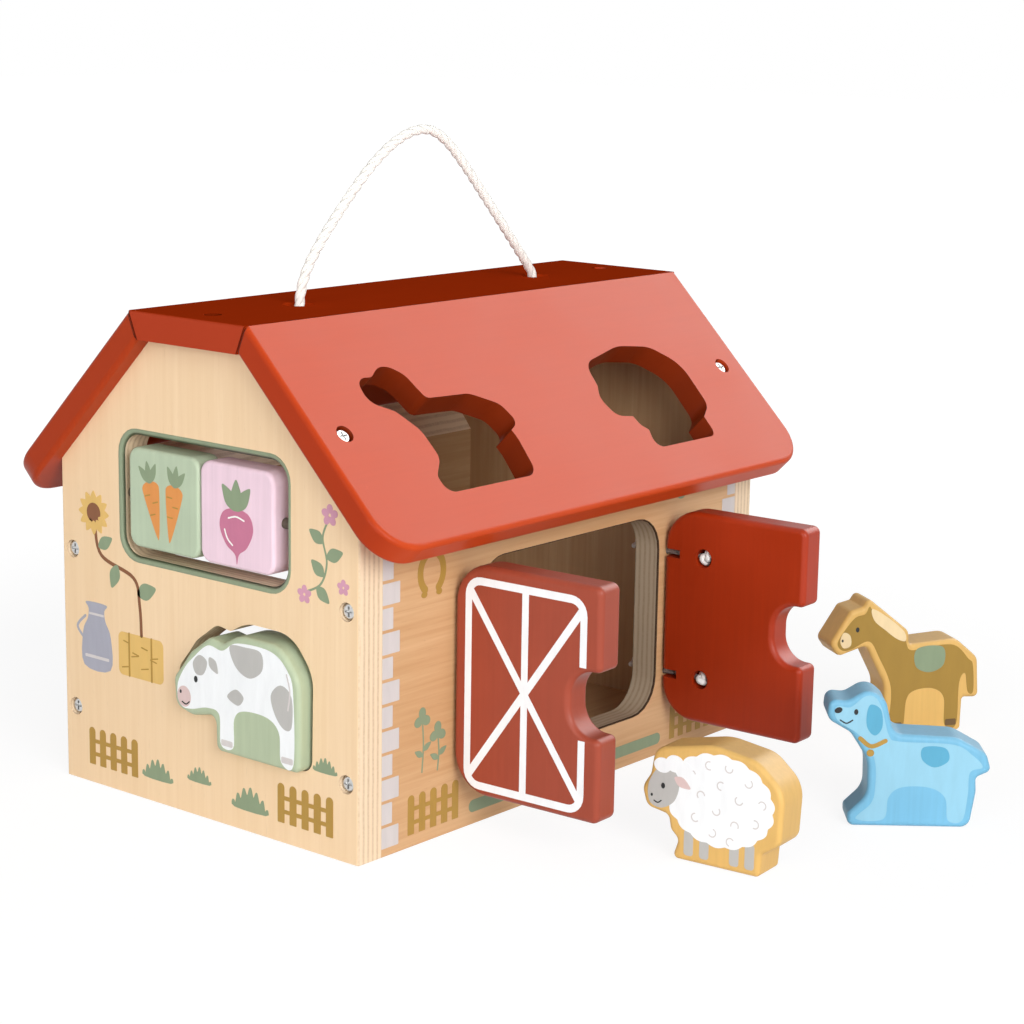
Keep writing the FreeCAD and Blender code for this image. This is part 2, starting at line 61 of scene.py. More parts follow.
def spread(tree, value, low, high, to_low=0.0, to_high=1.0):
    """Maps the span from low to high on another span, and holds the ends."""
    spans = {"Value": value, "From Min": low, "From Max": high, "To Min": to_low, "To Max": to_high}
    return shader_node(tree, "ShaderNodeMapRange", spans).outputs[0]


def blank_finish(name, roughness, specular=0.5):
    finish = bpy.data.materials.new(name)
    finish.use_nodes = True
    shader = finish.node_tree.nodes["Principled BSDF"]
    shader.inputs["Roughness"].default_value = roughness
    shader.inputs["Specular IOR Level"].default_value = specular
    return finish, finish.node_tree, shader


def two_tones(tree, factor, dark, light):
    mix = shader_node(tree, "ShaderNodeMix", data_type="RGBA")
    tree.links.new(factor, mix.inputs[0])
    for socket, colour in ((mix.inputs[6], dark), (mix.inputs[7], light)):
        if isinstance(colour, bpy.types.NodeSocket):
            tree.links.new(colour, socket)
        else:
            socket.default_value = (*colour, 1)
    return mix.outputs[2]


def times(share, colour):
    return tuple(share * channel for channel in colour)


def mottling(tree, scale, detail=2.0, roughness=0.5, distortion=0.0):
    """Cloudy noise, alike in all directions."""
    cloud = {
        "Vector": shader_node(tree, "ShaderNodeTexCoord").outputs["Object"],
        "Scale": scale, "Detail": detail, "Roughness": roughness, "Distortion": distortion,
    }
    return shader_node(tree, "ShaderNodeTexNoise", cloud).outputs["Fac"]


def wood_grain(tree, grain, fine, long):
    """Noise drawn out along one axis, as wood pores are."""
    place = shader_node(tree, "ShaderNodeTexCoord").outputs["Object"]
    stretch = [fine, fine, fine]
    stretch[grain] = long
    drawn_out = shader_node(tree, "ShaderNodeMapping", {"Vector": place, "Scale": stretch})
    pores = {
        "Vector": drawn_out.outputs["Vector"],
        "Scale": 1.0, "Detail": 5.0, "Roughness": 0.6, "Distortion": 0.4,
    }
    return shader_node(tree, "ShaderNodeTexNoise", pores).outputs["Fac"]


def bump_from(tree, shader, height, distance, strength):
    bump = shader_node(
        tree, "ShaderNodeBump", {"Height": height, "Distance": distance, "Strength": strength}
    )
    tree.links.new(bump.outputs["Normal"], shader.inputs["Normal"])


x_axis, y_axis, z_axis = range(3)
veneer_pair = 0.0024
veneer_waver = 0.0006
pale_veneer = (0.80, 0.63, 0.44)
brown_veneer = (0.50, 0.34, 0.20)
inside_shade_tones = (0.46, 0.265, 0.125), (0.58, 0.375, 0.20)
pore_stretch = 520.0, 14.0
figure_stretch = 60.0, 5.0
fleck_stretch = 1100.0, 160.0
square_on = 0.9


def birch_plywood(name, across, grain, pale, dark, inside=0, sawn=1.0):
    """across is the axis through the board, grain the axis that the face veneer runs along, inside the side
    of the board, +1 or -1, that faces into the house and is coloured darker brown as painted shade, and sawn
    a factor on the colour of the cut edges, which darkens them as painted shade where it is below 1."""
    finish, tree, shader = blank_finish(name, 0.5, 0.4)
    pores = wood_grain(tree, grain, *pore_stretch)
    figure = wood_grain(tree, grain, *figure_stretch)
    streak = spread(tree, reckon(tree, "MULTIPLY", pores, figure), 0.12, 0.42)
    fleck = spread(tree, wood_grain(tree, grain, *fleck_stretch), 0.64, 0.72, 0.0, 0.3)
    face = two_tones(tree, fleck, two_tones(tree, streak, dark, pale), times(0.72, dark))
    place = shader_node(tree, "ShaderNodeTexCoord")
    spot = shader_node(tree, "ShaderNodeSeparateXYZ", {0: place.outputs["Object"]})
    facing = shader_node(tree, "ShaderNodeSeparateXYZ", {0: place.outputs["Normal"]})
    depth = reckon(tree, "MULTIPLY_ADD", mottling(tree, 90.0), veneer_waver, spot.outputs[across])
    wave = reckon(tree, "SINE", reckon(tree, "MULTIPLY", depth, 2 * math.pi / veneer_pair))
    end_grain = wood_grain(tree, across, 900.0, 900.0)
    band = reckon(tree, "MULTIPLY", spread(tree, wave, -0.2, 0.75), end_grain)
    edge = two_tones(tree, band, times(sawn, pale_veneer), times(sawn, brown_veneer))
    # Painted shade: the faces that look into the house get the darker inside tones.
    inward = reckon(tree, "MULTIPLY", facing.outputs[across], float(inside))
    shaded_inside = reckon(tree, "GREATER_THAN", inward, square_on)
    face = two_tones(tree, shaded_inside, face, two_tones(tree, streak, *inside_shade_tones))
    is_edge = reckon(tree, "LESS_THAN", reckon(tree, "ABSOLUTE", facing.outputs[across]), square_on)
    tree.links.new(two_tones(tree, is_edge, face, edge), shader.inputs["Base Color"])
    tree.links.new(spread(tree, pores, 0.0, 1.0, 0.42, 0.6), shader.inputs["Roughness"])
    bump_from(tree, shader, pores, 0.00012, 0.5)
    return finish


def dress(node, finish):
    for slot in solids[node].material_slots:
        slot.material = finish


# The gables carry the birch's own tones. The front and back walls and the floor are the same plywood coloured
# darker and more orange: painted shade from the eaves and doors, and painted reddish bounce light from the
# red doors and roof.
gable_tones = (0.81, 0.605, 0.39), (0.755, 0.54, 0.325)
shaded_wall_tones = (0.66, 0.415, 0.22), (0.53, 0.295, 0.132)
# The front wall's cut edges, the doorway's jamb among them, are darkened as painted shade.
for board, across, grain, (pale, dark), inside, sawn in (
    ("left_gable_panel", x_axis, z_axis, gable_tones, 1, 1.0),
    ("right_gable_panel", x_axis, z_axis, gable_tones, -1, 1.0),
    ("front_wall", y_axis, x_axis, shaded_wall_tones, 1, 0.55),
    ("back_wall", y_axis, x_axis, shaded_wall_tones, -1, 1.1),
    ("floor_panel", z_axis, x_axis, shaded_wall_tones, 1, 1.0),
):
    dress(board, birch_plywood(board + "_birch", across, grain, pale, dark, inside, sawn))


# Prints on the walls
# Flat ink pictures, screen printed on the lacquered boards before assembly: corner
# stones, picket fences, grass and simple farmyard plants. Each colour is one pass of ink.

def wall_plane(corner, right, up=(0, 0, 1)):
    right, up = Vector(right), Vector(up)
    out = right.cross(up)
    plane = Matrix((right, up, out)).transposed().to_4x4()
    plane.translation = Vector(corner)
    return plane


half_length = 0.120
half_depth = 0.0785
left_gable_face = wall_plane((-half_length, 0, 0), (0, -1, 0))
right_gable_face = wall_plane((half_length, 0, 0), (0, 1, 0))
front_wall_face = wall_plane((0, -half_depth, 0), (1, 0, 0))
back_wall_face = wall_plane((0, half_depth, 0), (-1, 0, 0))


def between(a, b, c, d, t):
    """The point at t, from 0 to 1, of the smooth run from b to c on a line through all four."""
    return 0.5 * (
        2 * b + (c - a) * t + (2 * a - 5 * b + 4 * c - d) * t ** 2 + (3 * b - a - 3 * c + d) * t ** 3
    )


def smooth_shape(points, steps=7):
    """A closed curve through given points, in millimetres."""
    count = len(points)
    outline = []
    for i in range(count):
        run = [Vector(points[(i + k) % count]) for k in (-1, 0, 1, 2)]
        outline += [between(*run, step / steps) for step in range(steps)]
    return outline


def curve_line(points, steps=8):
    """An open smooth line through points, for stems and mouths."""
    padded_line = [points[0]] + list(points) + [points[-1]]
    line = []
    for i in range(len(points) - 1):
        run = [Vector(padded_line[i + k]) for k in range(4)]
        line += [between(*run, step / steps) for step in range(steps)]
    line.append(Vector(points[-1]))
    return line


def round_about(x, y, across, high, angle):
    """The point of an oval that lies at an angle in degrees."""
    return x + across * math.cos(math.radians(angle)), y + high * math.sin(math.radians(angle))


def oval(x, y, across, high, turn=0.0, steps=28):
    outline = []
    for step in range(steps):
        point = Vector(round_about(0, 0, across, high, 360 * step / steps))
        point.rotate(Matrix.Rotation(math.radians(turn), 2))
        outline.append(point + Vector((x, y)))
    return outline


def bar(x0, y0, x1, y1, radius, top_radius=None):
    """A rectangle with rounded corners, the top ones rounder where top_radius is given."""
    top_radius = radius if top_radius is None else top_radius
    outline = []
    for x, y, r, start in (
        (x1, y0, radius, -90), (x1, y1, top_radius, 0), (x0, y1, top_radius, 90), (x0, y0, radius, 180),
    ):
        cx = x - r if x == x1 else x + r
        cy = y - r if y == y1 else y + r
        outline += [Vector(round_about(cx, cy, r, r, start + 15 * step)) for step in range(7)]
    return outline


def leaf(x, y, length, width, turn):
    """A pointed leaf that starts at a point and grows in one direction."""
    side = [(0, 0), (0.25, 0.42), (0.5, 0.5), (0.8, 0.28), (1, 0)]
    outline = [Vector((a * length, b * width)) for a, b in side]
    outline += [Vector((a * length, -b * width)) for a, b in side[-2:0:-1]]
    spin = Matrix.Rotation(math.radians(turn), 2)
    return smooth_shape([spin @ point + Vector((x, y)) for point in outline], 4)


def both_sides(line, width):
    """The two edges of a painted line."""
    left, right = [], []
    for i, point in enumerate(line):
        along = (line[min(i + 1, len(line) - 1)] - line[max(i - 1, 0)]).normalized()
        aside = Vector((-along.y, along.x)) * (width / 2)
        left.append(point + aside)
        right.append(point - aside)
    return left, right


def stroke(points, width):
    """A brush line with round ends."""
    line = [Vector(point) for point in points]
    left, right = both_sides(line, width)
    caps = []
    for end, before in ((line[-1], line[-2]), (line[0], line[1])):
        ahead = math.degrees(math.atan2(end.y - before.y, end.x - before.x))
        turns = [ahead + 90 - 30 * k for k in range(1, 6)]
        caps.append([Vector(round_about(end.x, end.y, width / 2, width / 2, turn)) for turn in turns])
    return left + caps[0] + right[::-1] + caps[1]


ink_passes = {}


def ink(colour_name, colour):
    """Matt ink with a little mottling, kept once for each colour."""
    if colour_name not in ink_passes:
        finish, tree, shader = blank_finish(colour_name + "_ink", 0.55, 0.35)
        mottle = wood_grain(tree, z_axis, 260.0, 60.0)
        lighter = tuple(min(1.0, channel) for channel in times(1.05, colour))
        tree.links.new(two_tones(tree, mottle, times(0.86, colour), lighter), shader.inputs["Base Color"])
        bump_from(tree, shader, mottle, 0.00005, 0.4)
        ink_passes[colour_name] = finish
    return ink_passes[colour_name]


def new_piece(name, corners, faces, finish):
    mesh = bpy.data.meshes.new(name)
    mesh.from_pydata(corners, [], faces)
    mesh.materials.append(finish)
    piece = bpy.data.objects.new(name, mesh)
    bpy.context.scene.collection.objects.link(piece)
    return piece


film_foot = 0.01
film_top = 0.08
second_film = 0.10
third_film = 0.12
fourth_film = 0.14
film_step = 0.005
films_in_turn = 12


def print_on(name, plane, shapes, finish, body, lift=film_top):
    """Lays films of ink, with outlines and heights given in millimetres, on a plane of the object."""
    corners, faces = [], []
    for k, outline in enumerate(shapes):
        first, count = len(corners), len(outline)
        for height in (film_foot, lift + film_step * (k % films_in_turn)):
            corners += [plane @ Vector((p[0] / 1000, p[1] / 1000, height / 1000)) for p in outline]
        flat = [Vector((p[0], p[1], 0)) for p in outline]
        anticlockwise = sum(flat[i - 1].cross(flat[i]).z for i in range(count)) > 0
        for face in tessellate_polygon([flat]):
            a, b, c = (flat[i] for i in face)
            top = face if (b - a).cross(c - a).z > 0 else face[::-1]
            faces.append([first + count + i for i in top])
            faces.append([first + i for i in top[::-1]])
        for i in range(count):
            j = (i + 1) % count
            wall = (first + i, first + j, first + count + j, first + count + i)
            faces.append(wall if anticlockwise else wall[::-1])
    piece = new_piece(name, corners, faces, finish)
    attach(piece, body)


def print_on_wall(name, plane, shapes, finish, lift=film_top):
    print_on(name, plane, shapes, finish, "house", lift)


stone_grey = ink("stone_grey", (0.61, 0.57, 0.56))
fence_ochre = ink("fence_ochre", (0.40, 0.235, 0.045))
leaf_green = ink("leaf_green", (0.235, 0.30, 0.185))
stalk_brown = ink("stalk_brown", (0.22, 0.085, 0.035))
hay_yellow = ink("hay_yellow", (0.70, 0.45, 0.14))
churn_grey = ink("churn_grey", (0.36, 0.36, 0.42))
blossom_mauve = ink("blossom_mauve", (0.60, 0.30, 0.40))


def corner_stones(edge, to_the_right, courses=13, course=9.0, long=9.0, short=5.5, high=7.8, foot=3.0):
    stones = []
    for row in range(courses):
        wide = long if row % 2 == 0 else short
        low = foot + course * row
        x0 = edge if to_the_right else edge - wide
        stones.append(bar(x0, low, x0 + wide, low + high, 0.3))
    return stones


def picket_fence(left, foot, pickets=5, pitch=6.1, wide=3.5, high=15.0):
    low_rail, high_rail, rail_high = 3.6, 8.8, 1.6
    shapes = []
    for k in range(pickets):
        x = left + k * pitch
        shapes.append(bar(x, foot, x + wide, foot + high, 0.3, wide / 2 - 0.05))
        if k:
            for rail in (foot + low_rail, foot + high_rail):
                shapes.append(bar(x - pitch + wide, rail, x, rail + rail_high, 0.05))
    return shapes


def grass_tuft(x, y, size, tip=0.06, notch=0.72, reach=0.98):
    """A rounded clump with seven blades."""
    blades = [
        (-1.0, 0.30), (-0.72, 0.62), (-0.36, 0.90), (0.02, 1.0), (0.38, 0.86), (0.74, 0.60), (1.0, 0.26),
    ]
    outline = [(-0.9, 0.0)]
    for k, (across, up) in enumerate(blades):
        outline += [(across * reach - tip, up * reach), (across * reach + tip, up * reach)]
        if k < len(blades) - 1:
            next_across, next_up = blades[k + 1]
            outline.append(((across + next_across) / 2, min(up, next_up) * notch))
    outline.append((0.9, 0.0))
    return [Vector((x + a * size, y + b * size)) for a, b in smooth_shape(outline, 3)]


for side, plane in (("front", front_wall_face), ("back", back_wall_face)):
    stones = corner_stones(-108.0, True) + corner_stones(108.0, False)
    print_on_wall(side + "_corner_stones", plane, stones, stone_grey)
    fences = picket_fence(-94.0, 4.6) + picket_fence(66.5, 4.6)
    if side == "back":
        fences += picket_fence(-14.0, 3.6)
    print_on_wall(side + "_wall_fences", plane, fences, fence_ochre)

lawn = [bar(-60, 4.6, -6, 9.4, 2.3), bar(-1, 4.6, 60, 9.4, 2.3)]
print_on_wall("front_lawn_strip", front_wall_face, lawn, leaf_green)

# A sprouting clover by the door and a horseshoe over it
clover = []
for x, y, high in ((-86.5, 27.0, 20.0), (-78.0, 26.0, 14.0)):
    clover.append(stroke(curve_line([(x, y), (x + 0.7, y + high * 0.5), (x, y + high)]), 0.7))
    for turn in (90, 200, 340):
        clover.append(oval(*round_about(x, y + high, 2.2, 2.2, turn), 2.3, 1.9, turn))
    clover.append(leaf(x + 0.5, y + high * 0.4, 5.0, 2.4, 30))
    clover.append(leaf(x + 0.4, y + high * 0.3, 5.0, 2.4, 150))
clover += [leaf(68.0, 106.0, 6.5, 3.6, 25), leaf(80.0, 111.0, 6.5, 3.6, 200), leaf(84.0, 106.5, 6.0, 3.4, 80)]
print_on_wall("front_clover", front_wall_face, clover, leaf_green)
shoe = [
    stroke([round_about(-82.0, 101.0, 6.2, 7.4, angle) for angle in range(-55, 236, 10)], 3.0),
    oval(-86.0, 93.2, 1.6, 1.2), oval(-78.0, 93.2, 1.6, 1.2),
]
print_on_wall("front_horseshoe", front_wall_face, shoe, fence_ochre)

for side, plane in (("left_gable", left_gable_face), ("right_gable", right_gable_face)):
    print_on_wall(side + "_fences", plane, picket_fence(-65.0, 7.3) + picket_fence(38.3, 7.5), fence_ochre)
    tufts = ((-26.0, 9.0, 8.0), (-3.0, 13.0, 6.0), (24.0, 8.0, 9.0), (62.2, 31.0, 5.6))
    print_on_wall(side + "_grass", plane, [grass_tuft(*tuft) for tuft in tufts], leaf_green)

# Beside the window: a tall sunflower behind a hay bale and a milk churn
print_on_wall("hay_bale_print", left_gable_face, [bar(-47.0, 47.0, -22.0, 64.0, 2.4)], hay_yellow)
twine = [stroke([(x, 47.2), (x, 63.8)], 0.9) for x in (-41.0, -28.5)]
for k in range(4):
    low = 50.0 + (k * 5) % 9
    twine.append(stroke([(-45.0 + 5.4 * k, low), (-41.2 + 5.4 * k, low + 0.8)], 0.5))
for k in range(4):
    high = 60.6 - (k * 4) % 7
    twine.append(stroke([(-44.0 + 5.0 * k, high), (-40.8 + 5.0 * k, high - 0.6)], 0.5))
print_on_wall("hay_bale_twine", left_gable_face, twine, fence_ochre, third_film)
churn = [
    (-67, 47), (-52, 47), (-51.5, 60), (-54.5, 66), (-55, 70), (-53.8, 72.5), (-65.2, 72.5), (-64, 70),
    (-64.5, 66), (-67.5, 60),
]
churn_handle = curve_line([(-67.4, 58.0), (-70.6, 62.0), (-66.0, 66.6)])
churn_bands = [bar(-66.4, 50.4, -52.6, 51.6, 0.4), bar(-63.8, 67.6, -55.2, 68.5, 0.3)]
print_on_wall(
    "milk_churn_print", left_gable_face, [smooth_shape(churn, 4), stroke(churn_handle, 1.1)], churn_grey
)
print_on_wall("milk_churn_bands", left_gable_face, churn_bands, stone_grey, third_film)
stalk = curve_line([(-34.0, 64.2), (-34.8, 76.0), (-38.0, 86.0), (-56.0, 92.0), (-59.5, 104.0)])
print_on_wall("sunflower_stalk", left_gable_face, [stroke(stalk, 1.5)], stalk_brown)
print_on_wall(
    "sunflower_leaves", left_gable_face,
    [leaf(-36.0, 80.0, 11.0, 6.4, 20), leaf(-47.0, 89.6, 10.0, 5.6, 250), leaf(-57.6, 95.0, 9.0, 5.0, 30)],
    leaf_green,
)
flower_x, flower_y = -60.0, 108.0
petals = [
    leaf(*round_about(flower_x, flower_y, 3.0, 3.0, turn), 5.6, 3.4, turn) for turn in range(0, 360, 30)
]
print_on_wall("sunflower_petals", left_gable_face, petals, hay_yellow, second_film)
heart = oval(flower_x, flower_y, 3.9, 3.9)
print_on_wall("sunflower_heart", left_gable_face, [heart], stalk_brown, fourth_film)

# Right of the window: a trailing stem with paired leaves and small five-petal flowers
vine = curve_line([(52.5, 96.0), (60.0, 100.0), (63.0, 108.0), (61.0, 117.0), (64.0, 124.0)])
print_on_wall(
    "vine_leaves", left_gable_face,
    [stroke(vine, 0.8), leaf(58.0, 98.8, 8.0, 4.6, -40), leaf(61.6, 103.0, 8.0, 4.8, 140),
     leaf(62.8, 110.0, 8.4, 5.0, 20), leaf(61.4, 115.0, 8.0, 4.6, 150)],
    leaf_green,
)
flowers = []
for x, y, size in ((52.0, 95.0, 2.0), (64.4, 125.4, 2.3), (71.0, 100.5, 1.7)):
    for turn in range(90, 450, 72):
        flowers.append(oval(*round_about(x, y, size, size, turn), 0.75 * size, 0.62 * size, turn))
print_on_wall("vine_flowers", left_gable_face, flowers, blossom_mauve, second_film)


# Window border
# The window cut in the left gable has a chamfered rim painted sage green, with a narrow
# painted band round it on the face of the board.

sage_green = (0.235, 0.28, 0.18)
window_middle = 118.0


def rim_loop(half_width, half_height, radius, depth):
    """One loop round the window, in metres, depth measured in from the face."""
    outline = bar(-half_width, window_middle - half_height, half_width, window_middle + half_height, radius)
    return [left_gable_face @ Vector((x / 1000, z / 1000, -depth / 1000)) for x, z in outline]


def smooth_piece(name, corners, faces, finish):
    piece = new_piece(name, corners, faces, finish)
    piece.data.polygons.foreach_set("use_smooth", [True] * len(faces))
    return piece


def ring_mesh(name, loops, finish):
    """A closed ring through loops that go once round its section."""
    count = len(loops[0])
    faces = []
    for row in range(len(loops)):
        this, after = row * count, (row + 1) % len(loops) * count
        for k in range(count):
            beside = (k + 1) % count
            faces.append((this + k, this + beside, after + beside, after + k))
    return smooth_piece(name, [point for loop in loops for point in loop], faces, finish)


def satin_paint(name, colour, grain=x_axis, sheen=0.42, gleam=0.3, depth=1.0):
    """Two coats of satin paint on sanded board, with the grain just showing through."""
    finish, tree, shader = blank_finish(name, sheen, gleam)
    cloud = mottling(tree, 38.0, 4.0)
    scuff = spread(tree, mottling(tree, 130.0, 8.0, 0.75), 0.66, 0.76, 0.0, 0.35)
    lines = wood_grain(tree, grain, 480.0, 22.0)
    both = spread(tree, reckon(tree, "ADD", cloud, lines), 0.6, 1.4)
    lighter = tuple(min(1.0, channel) for channel in times(1 + 0.08 * depth, colour))
    coat = two_tones(tree, both, times(1 - 0.10 * depth, colour), lighter)
    rubbed = tuple(min(1.0, 1.25 * channel + 0.01) for channel in colour)
    tree.links.new(two_tones(tree, scuff, coat, rubbed), shader.inputs["Base Color"])
    gloss = spread(tree, cloud, 0.0, 1.0, sheen - 0.07, sheen + 0.09)
    tree.links.new(gloss, shader.inputs["Roughness"])
    bump_from(tree, shader, both, 0.00010, 0.35 * depth)
    return finish


# Half width, half height, corner radius and depth, from the band's outer edge down the chamfer and back
border_section = (
    (45.35, 25.6, 10.2, -0.02), (45.25, 25.5, 10.1, -0.10), (44.25, 24.5, 9.2, -0.10),
    (42.95, 23.2, 8.0, 1.16), (44.1, 24.35, 9.1, 0.3),
)
border_paint = satin_paint("border_sage_paint", sage_green, z_axis)
window_border = ring_mesh("window_border", [rim_loop(*row) for row in border_section], border_paint)
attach(window_border, "house")


# Doorway
# The opening in the front wall is routed through the plywood and its rim eased by hand.
# A thin dark band covers the eased rim round the front edge.

dark_rim_finish, dark_rim_tree, dark_rim_shader = blank_finish("dark_rim_birch", 0.8, 0.2)
rim_streaks = wood_grain(dark_rim_tree, x_axis, 700.0, 90.0)
rim_tone = two_tones(dark_rim_tree, rim_streaks, (0.02, 0.013, 0.009), (0.09, 0.05, 0.025))
dark_rim_tree.links.new(rim_tone, dark_rim_shader.inputs["Base Color"])
bump_from(dark_rim_tree, dark_rim_shader, rim_streaks, 0.0001, 0.4)
doorway_half_width, doorway_foot, doorway_top, doorway_corner = 55.5, 20.0, 100.5, 14.0
rim_radius = 0.8
band_top, band_foot = 0.04, -0.1
doorway_loops = []
for bend, lift in (
    (20, band_top), (45, band_top), (68, band_top), (90, band_top),
    (90, band_foot), (45, band_foot), (20, band_foot),
):
    inset = rim_radius * math.sin(math.radians(bend)) - rim_radius + lift
    depth = rim_radius - rim_radius * math.cos(math.radians(bend)) - lift
    outline = bar(
        -doorway_half_width + inset, doorway_foot + inset, doorway_half_width - inset, doorway_top - inset,
        doorway_corner - inset,
    )
    doorway_loops.append([front_wall_face @ Vector((x / 1000, z / 1000, -depth / 1000)) for x, z in outline])
dark_rim_ring = ring_mesh("doorway_dark_rim", doorway_loops, dark_rim_finish)
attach(dark_rim_ring, "house")


# Roof
# Three plywood boards meet in mitres at the ridge and are screwed down on the gables.
# Faces, edges and the walls of the animal cut-outs are all painted brick red.

ridge_half_width = 0.0305
ridge_height = 0.189
mitre_angle = math.radians(22.5)
mitre_line_core, mitre_line_edge = 0.0003, 0.0008
cut_outs_end = 0.115
cut_outs_foot = 0.123
cut_wall_shade = 0.4
mitre_shade = 0.12


def shade_sawn_edges(finish, red, end_red, slope_facing):
    """The walls of the animal cut-outs are darkened as painted shade, the board ends take their own red, and
    the mitres show as dark lines.
    """
    tree = finish.node_tree
    coat = tree.nodes["Principled BSDF"].inputs["Base Color"]
    place = shader_node(tree, "ShaderNodeTexCoord")
    facing = shader_node(tree, "ShaderNodeSeparateXYZ", {0: place.outputs["Normal"]})
    spot = shader_node(tree, "ShaderNodeSeparateXYZ", {0: place.outputs["Object"]})
    square = shader_node(
        tree, "ShaderNodeVectorMath", {0: place.outputs["Normal"], 1: slope_facing}, operation="DOT_PRODUCT"
    ).outputs["Value"]
    sawn = reckon(tree, "LESS_THAN", reckon(tree, "ABSOLUTE", square), 0.5)
    from_middle = reckon(tree, "ABSOLUTE", spot.outputs["X"])
    off_ends = reckon(tree, "LESS_THAN", from_middle, cut_outs_end)
    off_eave = reckon(tree, "GREATER_THAN", spot.outputs["Z"], cut_outs_foot)
    cut_wall = reckon(tree, "MULTIPLY", reckon(tree, "MULTIPLY", sawn, off_ends), off_eave)
    # Painted shade on the walls of the animal cut-outs.
    painted = two_tones(tree, cut_wall, coat.links[0].from_socket, times(cut_wall_shade, red))
    endwise = spread(tree, reckon(tree, "ABSOLUTE", facing.outputs["X"]), 0.2, 0.9)
    end_face = reckon(tree, "MULTIPLY", endwise, reckon(tree, "GREATER_THAN", from_middle, cut_outs_end))
    past_ridge = reckon(tree, "SUBTRACT", reckon(tree, "ABSOLUTE", spot.outputs["Y"]), ridge_half_width)
    over_ridge = reckon(tree, "SUBTRACT", spot.outputs["Z"], ridge_height)
    off_mitre = reckon(
        tree, "SUBTRACT",
        reckon(tree, "MULTIPLY", past_ridge, math.cos(mitre_angle)),
        reckon(tree, "MULTIPLY", over_ridge, math.sin(mitre_angle)),
    )
    near_mitre = reckon(tree, "ABSOLUTE", off_mitre)
    mitre_line = spread(tree, near_mitre, mitre_line_core, mitre_line_edge, 1.0, 0.0)
    end_coat = two_tones(tree, mitre_line, end_red, times(mitre_shade, end_red))
    tree.links.new(two_tones(tree, end_face, painted, end_coat), coat)


# The three boards wear one brick red paint. The front slope's red is lighter as painted light, and the back
# slope's and the top board's reds are darker as painted shade.
for board, red, end_red, gleam, slope_facing in (
    ("roof_front_slope", (0.51, 0.056, 0.010), (0.345, 0.030, 0.004), 0.12, (0, -0.707, 0.707)),
    ("roof_back_slope", (0.38, 0.042, 0.008), (0.335, 0.033, 0.005), 0.10, (0, 0.707, 0.707)),
    ("roof_top_panel", (0.36, 0.028, 0.003), (0.38, 0.046, 0.018), 0.0, (0, 0, 1)),
):
    roof_red = satin_paint(board + "_brick_red", red, x_axis, 0.36, gleam, 0.35)
    shade_sawn_edges(roof_red, red, end_red, slope_facing)
    dress(board, roof_red)


# Screws
# Bright zinc-plated steel screws with cross heads hold the gables and the roof boards.
# They are sunk in flat-bottomed recesses below the face of the board.

screw_zinc, zinc_tree, zinc_shader = blank_finish("bright_zinc", 0.28)
zinc_shader.inputs["Metallic"].default_value = 1.0
smear = mottling(zinc_tree, 900.0, 3.0)
plating = two_tones(zinc_tree, smear, (0.50, 0.50, 0.50), (0.74, 0.74, 0.73))
zinc_tree.links.new(plating, zinc_shader.inputs["Base Color"])
zinc_tree.links.new(spread(zinc_tree, smear, 0.0, 1.0, 0.2, 0.42), zinc_shader.inputs["Roughness"])
for board in ("left_gable", "right_gable", "roof_front", "roof_back", "roof_top"):
    dress(board + "_screws", screw_zinc)


# Rope handle
# A cream cotton rope of three twisted strands, 4 mm thick. It goes down through two flared
# holes in the top board, and a knot under the board holds each end.

rope_points = [
    (-70.0, 0.0, 178.5), (-70.0, 0.0, 189.0), (-66.5, 0.3, 200.5), (-56.0, 0.6, 213.5), (-34.0, 0.8, 235.5),
    (-16.0, 0.4, 248.5), (0.0, 0.0, 252.8), (12.0, -0.3, 248.0), (25.0, -0.5, 235.8), (47.0, -0.6, 212.5),
    (61.5, -0.3, 197.5), (70.0, 0.0, 188.5), (70.0, 0.0, 178.5),
]
rope_line = bpy.data.curves.new("rope_line", "CURVE")
rope_line.dimensions = "3D"
rope_spline = rope_line.splines.new("NURBS")
rope_spline.points.add(len(rope_points) - 1)
for point, place in zip(rope_spline.points, rope_points):
    point.co = (place[0] / 1000, place[1] / 1000, place[2] / 1000, 1)
rope_spline.order_u = 3
rope_spline.use_endpoint_u = True
rope_spline.resolution_u = 40
rope_guide = bpy.data.objects.new("rope_guide", rope_line)
bpy.context.scene.collection.objects.link(rope_guide)
bpy.context.view_layer.update()
rope_mesh_line = bpy.data.meshes.new_from_object(rope_guide)
rope_path = [vertex.co.copy() for vertex in rope_mesh_line.vertices]
bpy.data.objects.remove(rope_guide)
bpy.data.meshes.remove(rope_mesh_line)


def path_frames(path, closed=False):
    """Two directions square to a path at each point, carried along it without twist."""
    count = len(path)
    frames = []
    side = None
    for i in range(count):
        after = path[(i + 1) % count] if closed or i + 1 < count else path[i]
        before = path[i - 1] if closed or i > 0 else path[i]
        along = (after - before).normalized()
        if side is None:
            side = along.orthogonal().normalized()
        side = (side - along * side.dot(along)).normalized()
        frames.append((side.copy(), along.cross(side)))
    return frames


def tube_rings(path, radius, sides, closed=False):
    turns = [2 * math.pi * k / sides for k in range(sides)]
    rings = []
    for point, (across, up) in zip(path, path_frames(path, closed)):
        rings.append([point + radius * (math.cos(turn) * across + math.sin(turn) * up) for turn in turns])
    return rings


